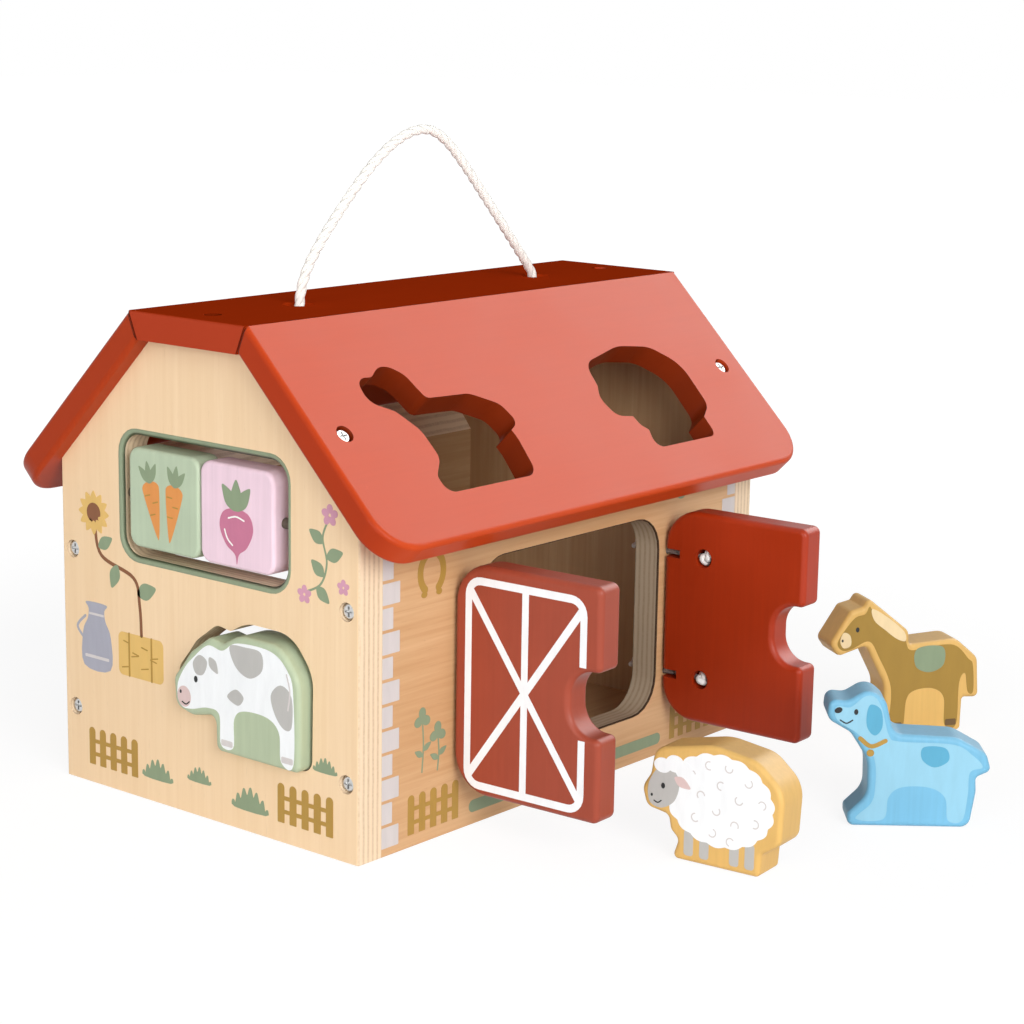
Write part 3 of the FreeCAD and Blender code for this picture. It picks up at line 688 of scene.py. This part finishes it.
def rings_to_mesh(name, tubes, finish):
    """One mesh of several tubes. Each tube is (rings, closed)."""
    corners, faces = [], []
    for rings, closed in tubes:
        first, sides, count = len(corners), len(rings[0]), len(rings)
        corners += [point for ring in rings for point in ring]
        for i in range(count if closed else count - 1):
            this, after = first + i * sides, first + (i + 1) % count * sides
            for k in range(sides):
                beside = (k + 1) % sides
                faces.append((this + k, this + beside, after + beside, after + k))
        if not closed:
            faces.append([first + k for k in range(sides)][::-1])
            faces.append([first + (count - 1) * sides + k for k in range(sides)])
    return smooth_piece(name, corners, faces, finish)


def strand_paths(path, strands, offset, turn_length):
    """Lines that wind round a path, one for each strand of a rope."""
    paths = [[] for _ in range(strands)]
    gone = 0.0
    for i, (point, (across, up)) in enumerate(zip(path, path_frames(path))):
        if i:
            gone += (point - path[i - 1]).length
        for k in range(strands):
            angle = 2 * math.pi * (gone / turn_length + k / strands)
            paths[k].append(point + offset * (math.cos(angle) * across + math.sin(angle) * up))
    return paths


def cotton(name, pale, shade, fibre_scale):
    """Soft spun cotton: fine fibres, a matt surface and a little fuzz."""
    finish, tree, shader = blank_finish(name, 0.9, 0.2)
    fibre = mottling(tree, fibre_scale, 6.0, 0.7, 1.2)
    tree.links.new(two_tones(tree, fibre, shade, pale), shader.inputs["Base Color"])
    shader.inputs["Sheen Weight"].default_value = 0.25
    bump_from(tree, shader, fibre, 0.00025, 0.6)
    return finish


strand_radius, strand_offset, strand_turn = 0.00122, 0.00078, 0.0145
rope_cotton = cotton("cream_rope_cotton", (0.96, 0.94, 0.90), (0.82, 0.78, 0.71), 2200.0)
rope_strands = [
    (tube_rings(strand, strand_radius, 9), False)
    for strand in strand_paths(rope_path, 3, strand_offset, strand_turn)
]
rope = rings_to_mesh("twisted_rope", rope_strands, rope_cotton)
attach(rope, "house")
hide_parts("rope_handle")


def overhand_knot(centre, size, thickness, tilt, steps=66):
    """A tight ball of cord that crosses itself three times, as tube rings."""
    spin = Matrix.Rotation(math.radians(tilt), 3, "X") @ Matrix.Rotation(math.radians(tilt * 0.7), 3, "Z")
    path = []
    for step in range(steps):
        t = 2 * math.pi * step / steps
        across = math.sin(t) + 2 * math.sin(2 * t)
        up = math.cos(t) - 2 * math.cos(2 * t)
        loop = Vector((across, up, -1.7 * math.sin(3 * t)))
        path.append(Vector(centre) + spin @ (loop * ((size - thickness) / 3.05)))
    return tube_rings(path, thickness, 9, True), True


end_knot_size, end_knot_cord = 0.0050, 0.0019
end_knots = [
    overhand_knot((side * 0.070, 0, 0.1735), end_knot_size, end_knot_cord, 20 * side) for side in (-1, 1)
]
knots_under_roof = rings_to_mesh("rope_end_knots", end_knots, rope_cotton)
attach(knots_under_roof, "house")
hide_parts("rope_knots")


# Doors
# Two red painted leaves of 12 mm board hang open at the front. Each has soft edges, a
# rounded finger notch in its free edge, and white painted barn-door bracing outside.

# Both leaves wear one red paint. The left leaf's red is paler as a painted sheen, and the right leaf's darker
# and deeper as painted shade.
for leaf_board, red in (("left_door", (0.305, 0.053, 0.026)), ("right_door", (0.365, 0.028, 0.003))):
    dress(leaf_board, satin_paint(leaf_board + "_red_paint", red, z_axis, 0.40))

bracing_white = ink("bracing_white", (0.83, 0.85, 0.87))
left, right = -1, 1
leaf_width = 65.0
leaf_outer_face = -0.0913
closed_leaf_starts = {left: -0.0655, right: 0.0005}
stands_open_by = {left: -87.5, right: 92.5}
hinge_line = Vector((0.062, -0.0828, 0))


def opened(side):
    """Turns a closed leaf about its hinge line to where it stands open."""
    swing = Matrix.Rotation(math.radians(stands_open_by[side]), 4, "Z")
    pivot = Matrix.Translation(Vector((side * hinge_line.x, hinge_line.y, 0)))
    return pivot @ swing @ pivot.inverted()


def square_stroke(points, width):
    """A painted line with square ends."""
    line = []
    for point in points:
        if not line or (Vector(point) - line[-1]).length > 1e-6:
            line.append(Vector(point))
    one_side, other_side = both_sides(line, width)
    return one_side + other_side[::-1]


def bracing(side):
    """Frame, middle bar and crossed braces, with the frame broken at the finger notch."""
    line, low, high, near, far, bend = 2.9, 20.9, 97.6, 6.5, 57.5, 5.5
    under_notch, over_notch = 46.9, 73.6
    aside, apart = 0.6, 3.4
    frame_line = [(far, under_notch), (far, low + bend)]
    for cx, cy, start in (
        (far - bend, low + bend, 0), (near + bend, low + bend, -90),
        (near + bend, high - bend, -180), (far - bend, high - bend, -270),
    ):
        frame_line += [round_about(cx, cy, bend, bend, start - 15 * step) for step in range(7)]
    frame_line += [(far, high - bend), (far, over_notch)]
    middle = (near + far) / 2
    shapes = [
        frame_line, [(middle, low), (middle, high)],
        [(near + aside, low + apart), (far - aside, high - apart)],
        [(near + aside, high - apart), (far - aside, low + apart)],
    ]
    if side == right:
        shapes = [[(leaf_width - x, y) for x, y in shape] for shape in shapes]
    return [square_stroke(shape, line) for shape in shapes]


for side, body in ((left, "left_door_leaf"), (right, "right_door_leaf")):
    outside = opened(side) @ wall_plane((closed_leaf_starts[side], leaf_outer_face, 0), (1, 0, 0))
    print_on(body + "_bracing", outside, bracing(side), bracing_white, body)


# Cord hinges
# Each leaf hangs on two white braided cords. A cord runs from a knot inside the wall,
# through the wall and along a drilled channel in the leaf to a knot in a round recess.

knot_cotton = cotton("white_hinge_cord", (0.93, 0.92, 0.90), (0.74, 0.72, 0.69), 3000.0)
# The braided lengths are the same white cord, coloured dark grey as painted shade where they lie in the wall
# and the leaf channels; the knots keep the cord's white.
shaded_cord_cotton = cotton("shaded_hinge_cord", (0.34, 0.30, 0.28), (0.16, 0.13, 0.12), 3000.0)
cord_radius = 0.0012
braid_strand, braid_offset, braid_turn = 0.56 * cord_radius, 0.44 * cord_radius, 0.006
wall_knot_size, wall_knot_cord = 0.0031, 0.0011
leaf_knot_size, leaf_knot_cord, leaf_knot_sink = 0.0033, 0.0013, 0.0006
cord_heights = (0.03525, 0.08525)
wall_knot_at, wall_cord_from, wall_cord_to = -0.0637, -0.0665, -0.0838
leaf_cord_from, leaf_cord_to = 0.0605, 0.047


def braided(start, end, steps=36):
    """A short straight cord as four strands laid close round its line."""
    line = [start.lerp(end, step / steps) for step in range(steps + 1)]
    strands = strand_paths(line, 4, braid_offset, braid_turn)
    return [(tube_rings(strand, braid_strand, 7), False) for strand in strands]


for side, name in ((left, "left"), (right, "right")):
    wall_braids, wall_knots, leaf_braids, leaf_knots = [], [], [], []
    hinge_x, hinge_y = side * hinge_line.x, hinge_line.y
    for height in cord_heights:
        wall_end = Vector((hinge_x, wall_cord_from, height))
        wall_braids += braided(wall_end, Vector((hinge_x, wall_cord_to, height)))
        knot_place = hinge_x, wall_knot_at, height
        wall_knots.append(overhand_knot(knot_place, wall_knot_size, wall_knot_cord, 35 * side))
        from_hinge = opened(side) @ Vector((side * leaf_cord_from, hinge_y, height))
        to_knot = opened(side) @ Vector((side * leaf_cord_to, hinge_y, height))
        leaf_braids += braided(from_hinge, to_knot)
        knot_place = opened(side) @ Vector((side * leaf_cord_to, hinge_y + leaf_knot_sink, height))
        tilt = 50 * side + 900 * height
        leaf_knots.append(overhand_knot(knot_place, leaf_knot_size, leaf_knot_cord, tilt))
    for place, body, tubes, finish, node in (
        ("_wall_cord_braids", "house", wall_braids, shaded_cord_cotton, "_wall_cords"),
        ("_wall_cord_knots", "house", wall_knots, knot_cotton, "_wall_cords"),
        ("_leaf_cord_braids", name + "_door_leaf", leaf_braids, shaded_cord_cotton, "_door_cords"),
        ("_leaf_cord_knots", name + "_door_leaf", leaf_knots, knot_cotton, "_door_cords"),
    ):
        cords = rings_to_mesh(name + place, tubes, finish)
        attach(cords, body)
        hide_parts(name + node)


# Picture tiles
# Two painted wooden tiles spin on one dowel across the window. Each has a vegetable printed
# on both faces, the inner one so that it reads upright once the tile is turned over.

# The dowel is birch, coloured dark brown as painted shade where it sits deep in the window.
shaded_axle_tones = (0.34, 0.22, 0.12), (0.24, 0.15, 0.08)
dress("tile_axle", birch_plywood("axle_birch", y_axis, y_axis, *shaded_axle_tones, 0, 0.12))
dress("green_tile", satin_paint("tile_sage_paint", (0.42, 0.50, 0.36), z_axis, 0.45))
dress("pink_tile", satin_paint("tile_rose_paint", (0.75, 0.56, 0.64), z_axis, 0.45))
carrot_orange = ink("carrot_orange", (0.68, 0.27, 0.07))
beet_rose = ink("beet_rose", (0.52, 0.17, 0.27))
print_white = ink("print_white", (0.88, 0.86, 0.82))
axle_line = Vector((-0.1155, 0, 0.118))
half_turn = Matrix.Translation(axle_line) @ Matrix.Rotation(math.pi, 4, "Y") @ Matrix.Translation(-axle_line)
tile_outer_face = wall_plane((-0.1215, 0, 0), (0, -1, 0))
tile_inner_face = half_turn @ tile_outer_face
tile_middle = 19.3
carrot_height = 117.0
carrot_outline = [
    (-4.4, 4.0), (-4.2, 6.6), (-1.8, 8.0), (1.8, 8.0), (4.2, 6.6), (4.4, 4.0), (2.6, -5.0), (0.5, -13.0),
    (-0.5, -13.0), (-2.6, -5.0),
]
beet_outline = [
    (-8.6, 114.0), (-6.6, 119.6), (0, 121.4), (6.6, 119.6), (8.6, 114.0), (5.4, 107.6), (1.4, 104.6),
    (0.2, 100.8), (-0.8, 104.4), (-5.4, 107.6),
]
beet_ring_lines = (
    [(-6.0, 113.0), (-4.6, 109.8), (-2.0, 107.6)],
    [(-4.0, 117.4), (0, 118.4), (4.0, 117.4)],
)
for face_name, plane in (("outer", tile_outer_face), ("inner", tile_inner_face)):
    roots, tops, marks = [], [], []
    for lean, aside in ((12, -5.6), (-8, 5.2)):
        spin = Matrix.Rotation(math.radians(lean), 2)
        middle = Vector((aside - tile_middle, carrot_height))
        roots.append([spin @ point + middle for point in smooth_shape(carrot_outline, 5)])
        crown = spin @ Vector((0, 7.4)) + middle
        tops += [leaf(crown.x, crown.y, 8.4, 3.2, 90 + lean + bend) for bend in (-34, 0, 34)]
        for across, up in ((-2.2, 3.0), (1.4, 0.0), (-1.0, -4.4)):
            ends = Vector((across - 1.3, up)), Vector((across + 1.3, up + 0.2))
            marks.append(stroke([spin @ end + middle for end in ends], 0.5))
    print_on("carrots_" + face_name, plane, roots, carrot_orange, "green_tile")
    print_on("carrot_tops_" + face_name, plane, tops, leaf_green, "green_tile", second_film)
    print_on("carrot_marks_" + face_name, plane, marks, fence_ochre, "green_tile", third_film)
    beet = smooth_shape([(tile_middle + across, up) for across, up in beet_outline], 6)
    leaves = [leaf(tile_middle, 120.4, 11.6, 5.4, 90 + bend) for bend in (-38, 0, 38)]
    rings = [
        stroke([(tile_middle + across, up) for across, up in curve_line(ring)], 0.6)
        for ring in beet_ring_lines
    ]
    print_on("beet_" + face_name, plane, [beet], beet_rose, "pink_tile")
    print_on("beet_leaves_" + face_name, plane, leaves, leaf_green, "pink_tile", second_film)
    print_on("beet_rings_" + face_name, plane, rings, print_white, "pink_tile", third_film)


# Animal pieces
# Four chunky pieces sawn from 16 mm wood, painted all over in one colour, with the animal's
# markings printed on both flat faces. One sits in the gable, the others stand on the table.

piece_thickness = 0.016
lowest_layer, layer_step = 0.07, 0.03
ochre_paint = (0.67, 0.41, 0.125)
for piece, colour in (
    ("cow_piece", (0.40, 0.47, 0.32)), ("sheep_piece", ochre_paint), ("dog_piece", (0.165, 0.42, 0.60)),
    ("horse_piece", ochre_paint),
):
    dress(piece, satin_paint(piece + "_paint", colour, z_axis, 0.45))


def print_animal(name, body, corner, heading, layers):
    """Prints both flat faces of a piece. The far one is mirrored, so its animal faces the same way."""
    turn = math.radians(heading)
    ahead = Vector((math.cos(turn), math.sin(turn), 0))
    away = Vector((-math.sin(turn), math.cos(turn), 0))
    near_face = wall_plane(corner, ahead)
    far_face = wall_plane(Vector(corner) + piece_thickness * away, -ahead)
    for face_name, plane, way in (("near", near_face, 1), ("far", far_face, -1)):
        for k, (part, shapes, finish) in enumerate(layers):
            laid = [[(way * p[0], p[1]) for p in shape] for shape in shapes]
            lift = lowest_layer + layer_step * k
            print_on(name + "_" + part + "_" + face_name, plane, laid, finish, body, lift)


hide_white = ink("hide_white", (0.84, 0.86, 0.87))
patch_grey = ink("patch_grey", (0.46, 0.45, 0.43))
eye_black = ink("eye_black", (0.02, 0.02, 0.02))
muzzle_rose = ink("muzzle_rose", (0.66, 0.50, 0.48))
coat_blue = ink("coat_blue", (0.265, 0.52, 0.66))
ear_blue = ink("ear_blue", (0.09, 0.345, 0.51))
coat_brown = ink("coat_brown", (0.345, 0.205, 0.036))
mane_cream = ink("mane_cream", (0.80, 0.62, 0.36))
hoof_dark = ink("hoof_dark", (0.14, 0.08, 0.03))

print_animal("cow", "cow", (-0.125, 0.0109, 0.0297), -90.0, [
    ("hide", [smooth_shape([
        (2.4, 16), (2.2, 22), (5.8, 28.4), (10.4, 33.2), (18.4, 39.4), (26, 38.8), (34, 43), (51, 43),
        (59.6, 37), (62.2, 28), (62.2, 3), (56, 3), (55, 13.5), (49, 18), (37, 18), (32, 14), (31.4, 3),
        (25, 3), (24.2, 14.2), (18, 15.6), (10, 13.6), (5, 13.4)])], hide_white),
    ("patches", [smooth_shape([(30, 41.2), (33, 34), (40, 31), (46.5, 35), (46, 41.6), (38, 42.2)]),
                 smooth_shape([(51, 27), (56, 31.5), (61.4, 28), (61.4, 17), (57.5, 15.5), (53, 20)]),
                 smooth_shape([(28.5, 22), (33, 25.5), (37, 23), (34, 19.6)]),
                 smooth_shape([(10.5, 31.5), (14, 35), (18, 33), (16, 28), (12, 27.6)])], patch_grey),
    ("muzzle", [oval(5.6, 17.6, 3.6, 4.0)], muzzle_rose),
    ("hooves", [bar(25.2, 2.9, 31.2, 5.2, 0.6), bar(56.2, 2.9, 62.0, 5.2, 0.6),
                stroke(curve_line([(59.0, 36.0), (60.6, 30.0), (59.6, 23.0)]), 0.7)], stone_grey),
    ("ear", [leaf(19.2, 35.0, 7.0, 4.0, -50)], patch_grey),
    ("eye", [oval(12.0, 25.4, 0.9, 1.25), oval(3.8, 19.2, 0.5, 0.7),
             stroke(curve_line([(4.6, 15.4), (6.6, 14.8), (8.4, 16.0)]), 0.5)], eye_black),
])

wool = []
for step in range(180):
    angle = 2 * step
    puff = 1.0 + 0.05 * abs(math.sin(9 * math.radians(angle) + 0.4))
    wool.append(round_about(31.5, 25.2, 21.2 * puff, 16.6 * puff, angle))
curls = []
for x, y, turn in (
    (20, 33, 20), (27, 37.6, 80), (35, 38, 150), (43, 34, 200), (48.6, 27, 300), (24, 26, 10), (32, 31, 60),
    (39.4, 27, 130), (46, 19.6, 250), (30.4, 21.4, 190), (38, 17.4, 340), (22, 17.4, 100), (29, 13, 220),
    (36.4, 11, 40),
):
    arc = [round_about(x, y, 1.5, 1.5, turn + angle) for angle in range(0, 211, 30)]
    curls.append(stroke(curve_line(arc, 3), 0.45))
print_animal("sheep", "sheep", (-0.0391, -0.1434, 0), -84.4, [
    ("legs", [bar(x, 2.4, x + 3.8, 12.0, 1.2) for x in (17.6, 24.0, 36.2, 42.4)], patch_grey),
    ("wool", [wool], hide_white),
    ("curls", curls, stone_grey),
    ("face", [smooth_shape([
        (2.4, 21.0), (2.4, 26.6), (6.0, 32.6), (11.6, 33.8), (15.0, 29.0), (13.4, 22.0), (8.6, 18.4),
        (4.4, 18.6)])], patch_grey),
    ("forelock", [oval(8.0, 34.2, 3.6, 2.8), oval(13.0, 35.6, 3.8, 3.2),
                  oval(17.2, 34.0, 3.2, 3.0)], hide_white),
    ("ear", [leaf(13.0, 30.6, 7.4, 3.6, -25)], muzzle_rose),
    ("eye", [oval(8.4, 26.6, 0.8, 1.1), oval(3.8, 22.4, 0.45, 0.6),
             stroke(curve_line([(4.8, 20.4), (6.4, 19.9), (7.8, 20.9)]), 0.45)], eye_black),
])

print_animal("dog", "dog", (0.0297, -0.1775, 0), -50.7, [
    ("coat", [smooth_shape([
        (11.8, 3.0), (17.2, 9.0), (18.6, 15.0), (17.8, 26.4), (12.0, 35.4), (4.2, 40.4), (2.2, 44.4),
        (3.4, 46.8), (8.0, 46.4), (13.2, 50.6), (17.0, 50.4), (19.8, 46.0), (22.8, 35.8), (27.0, 33.4),
        (47.0, 32.6), (54.6, 28.4), (58.4, 24.0), (53.8, 21.8), (53.4, 13.0), (51.8, 3.0), (46.4, 3.0),
        (45.0, 11.6), (39.0, 15.6), (28.6, 15.6), (23.8, 11.6), (22.2, 3.0)])], coat_blue),
    ("ear", [smooth_shape([
        (15.6, 47.6), (19.4, 45.6), (20.2, 39.0), (17.6, 35.6), (14.6, 38.6), (14.2, 44.0)]),
             smooth_shape([
        (36.0, 31.4), (44.0, 31.2), (45.6, 26.4), (40.4, 23.6), (35.6, 26.6)])], ear_blue),
    ("collar", [stroke(curve_line([(12.2, 34.4), (16.4, 31.4), (21.6, 33.6)]), 1.7),
                oval(16.2, 28.8, 1.4, 1.4)], fence_ochre),
    ("eye", [oval(10.2, 44.6, 0.8, 1.1), oval(3.6, 45.2, 1.5, 1.1, 20),
             stroke(curve_line([(4.4, 41.4), (6.8, 40.2), (9.0, 41.4)]), 0.5)], eye_black),
])

print_animal("horse", "horse", (0.1235, -0.1195, 0), -34.0, [
    ("coat", [smooth_shape([
        (27.6, 3.0), (28.0, 16.0), (26.8, 24.0), (21.8, 34.0), (16.8, 41.6), (9.0, 38.8), (4.8, 38.4),
        (2.4, 41.6), (5.6, 47.2), (10.0, 52.2), (14.4, 53.6), (16.2, 56.6), (18.4, 54.6), (31.6, 44.6),
        (35.4, 37.0), (44.0, 37.8), (56.0, 37.8), (63.0, 31.4), (65.2, 28.6), (66.0, 17.0), (63.4, 17.0),
        (61.8, 25.0), (59.2, 21.0), (58.8, 3.0), (53.4, 3.0), (52.4, 15.0), (47.0, 19.4), (38.6, 19.0),
        (35.0, 15.0), (33.8, 3.0)])], coat_brown),
    ("mane", [smooth_shape([
        (17.6, 55.6), (25.0, 51.4), (32.4, 45.2), (33.4, 41.0), (29.4, 42.0), (24.0, 46.0), (18.6, 50.6)]),
              smooth_shape([(3.6, 42.4), (5.0, 46.0), (8.0, 44.6), (8.4, 40.4), (5.2, 39.4)])], mane_cream),
    ("saddle", [smooth_shape([
        (39.0, 37.2), (50.6, 37.4), (51.4, 29.6), (45.0, 26.6), (38.6, 29.6)])], leaf_green),
    ("hooves", [bar(28.4, 2.6, 33.4, 5.4, 0.6), bar(53.6, 2.6, 58.6, 5.4, 0.6)], hoof_dark),
    ("eye", [oval(11.2, 47.0, 0.8, 1.1), oval(4.6, 42.6, 0.45, 0.6)], eye_black),
])


# Table, light and camera
# A plain white table in a pale room, with soft light from the front and the left and a card on
# the right that only gleams on the paint. The camera stands where the photograph was taken from.

def seen_directly(tree):
    """1 for what the camera sees, also in metal or through glass, and 0 for light that falls on things."""
    ray = shader_node(tree, "ShaderNodeLightPath")
    seen = ray.outputs["Is Camera Ray"]
    for way in ("Is Glossy Ray", "Is Transmission Ray"):
        seen = reckon(tree, "MAXIMUM", seen, ray.outputs[way])
    return seen


table_reach = 6
table_height = -0.0003
beside_house, away_from_house = 0.25, 0.7
table_corners = [
    (across * table_reach, deep * table_reach, table_height)
    for across, deep in ((-1, -1), (1, -1), (1, 1), (-1, 1))
]
table_white, table_tree, table_shader = blank_finish("white_table_top", 0.9, 0.0)
seen = seen_directly(table_tree)
table_top = two_tones(table_tree, seen, (0.85, 0.85, 0.85), (0.16, 0.16, 0.16))
table_tree.links.new(table_top, table_shader.inputs["Base Color"])
from_house = shader_node(
    table_tree, "ShaderNodeVectorMath",
    {0: shader_node(table_tree, "ShaderNodeTexCoord").outputs["Object"]}, operation="LENGTH",
).outputs["Value"]
paleness = spread(table_tree, from_house, beside_house, away_from_house, 0.88, 1.0)
paleness = reckon(table_tree, "MULTIPLY", paleness, seen)
table_shader.inputs["Emission Color"].default_value = (1, 1, 1, 1)
table_tree.links.new(paleness, table_shader.inputs["Emission Strength"])
table = new_piece("white_table", table_corners, [(0, 1, 2, 3)], table_white)

world = bpy.data.worlds.new("studio")
bpy.context.scene.world = world
world.use_nodes = True
sky = world.node_tree
sky_light = sky.nodes["Background"]
sky_light.inputs["Color"].default_value = (1, 1, 1, 1)
direction = shader_node(sky, "ShaderNodeTexCoord").outputs["Generated"]
toward = shader_node(sky, "ShaderNodeSeparateXYZ", {0: direction})
front_to_back = spread(sky, toward.outputs["Y"], -1.0, 1.0, 0.62, 0.42)
overhead = spread(sky, toward.outputs["Z"], 0.0, 1.0, 1.0, 0.5)
room = reckon(sky, "MULTIPLY", front_to_back, overhead)
level = reckon(sky, "MAXIMUM", room, seen_directly(sky))
sky.links.new(level, sky_light.inputs["Strength"])

lamps_aim_at = Vector((0, -0.03, 0.09))
for lamp_name, place, size, power in (
    ("key_lamp", (-0.85, -1.75, 0.80), 1.1, 31.8), ("left_lamp", (-1.82, -0.42, 0.5), 1.0, 12.4),
    ("roof_card", (1.36, -0.42, 1.24), 1.5, 36.0),
):
    lamp_data = bpy.data.lights.new(lamp_name, "AREA")
    lamp_data.size = size
    lamp_data.energy = power
    lamp = bpy.data.objects.new(lamp_name, lamp_data)
    lamp.location = place
    lamp.visible_diffuse = lamp_name != "roof_card"
    lamp.rotation_euler = (lamps_aim_at - Vector(place)).to_track_quat("-Z", "Y").to_euler()
    bpy.context.scene.collection.objects.link(lamp)

camera_turn, camera_rise, camera_roll = (math.radians(angle) for angle in (-50.481, 11.927, 0.952))
to_camera = Vector((
    math.sin(camera_turn) * math.cos(camera_rise),
    -math.cos(camera_turn) * math.cos(camera_rise),
    math.sin(camera_rise),
))
level_right = Vector((math.cos(camera_turn), math.sin(camera_turn), 0))
level_up = to_camera.cross(level_right)
camera_right = math.cos(camera_roll) * level_right + math.sin(camera_roll) * level_up
camera_up = to_camera.cross(camera_right)
camera_data = bpy.data.cameras.new("photo_camera")
camera_data.lens = 86.46
camera_data.sensor_width = 36.0
camera = bpy.data.objects.new("photo_camera", camera_data)
stance = Matrix((camera_right, camera_up, to_camera)).transposed().to_4x4()
stance.translation = Vector((-0.725456, -0.645987, 0.304495))
camera.matrix_world = stance
bpy.context.scene.collection.objects.link(camera)
bpy.context.scene.camera = camera
bpy.context.scene.view_settings.view_transform = "Standard"
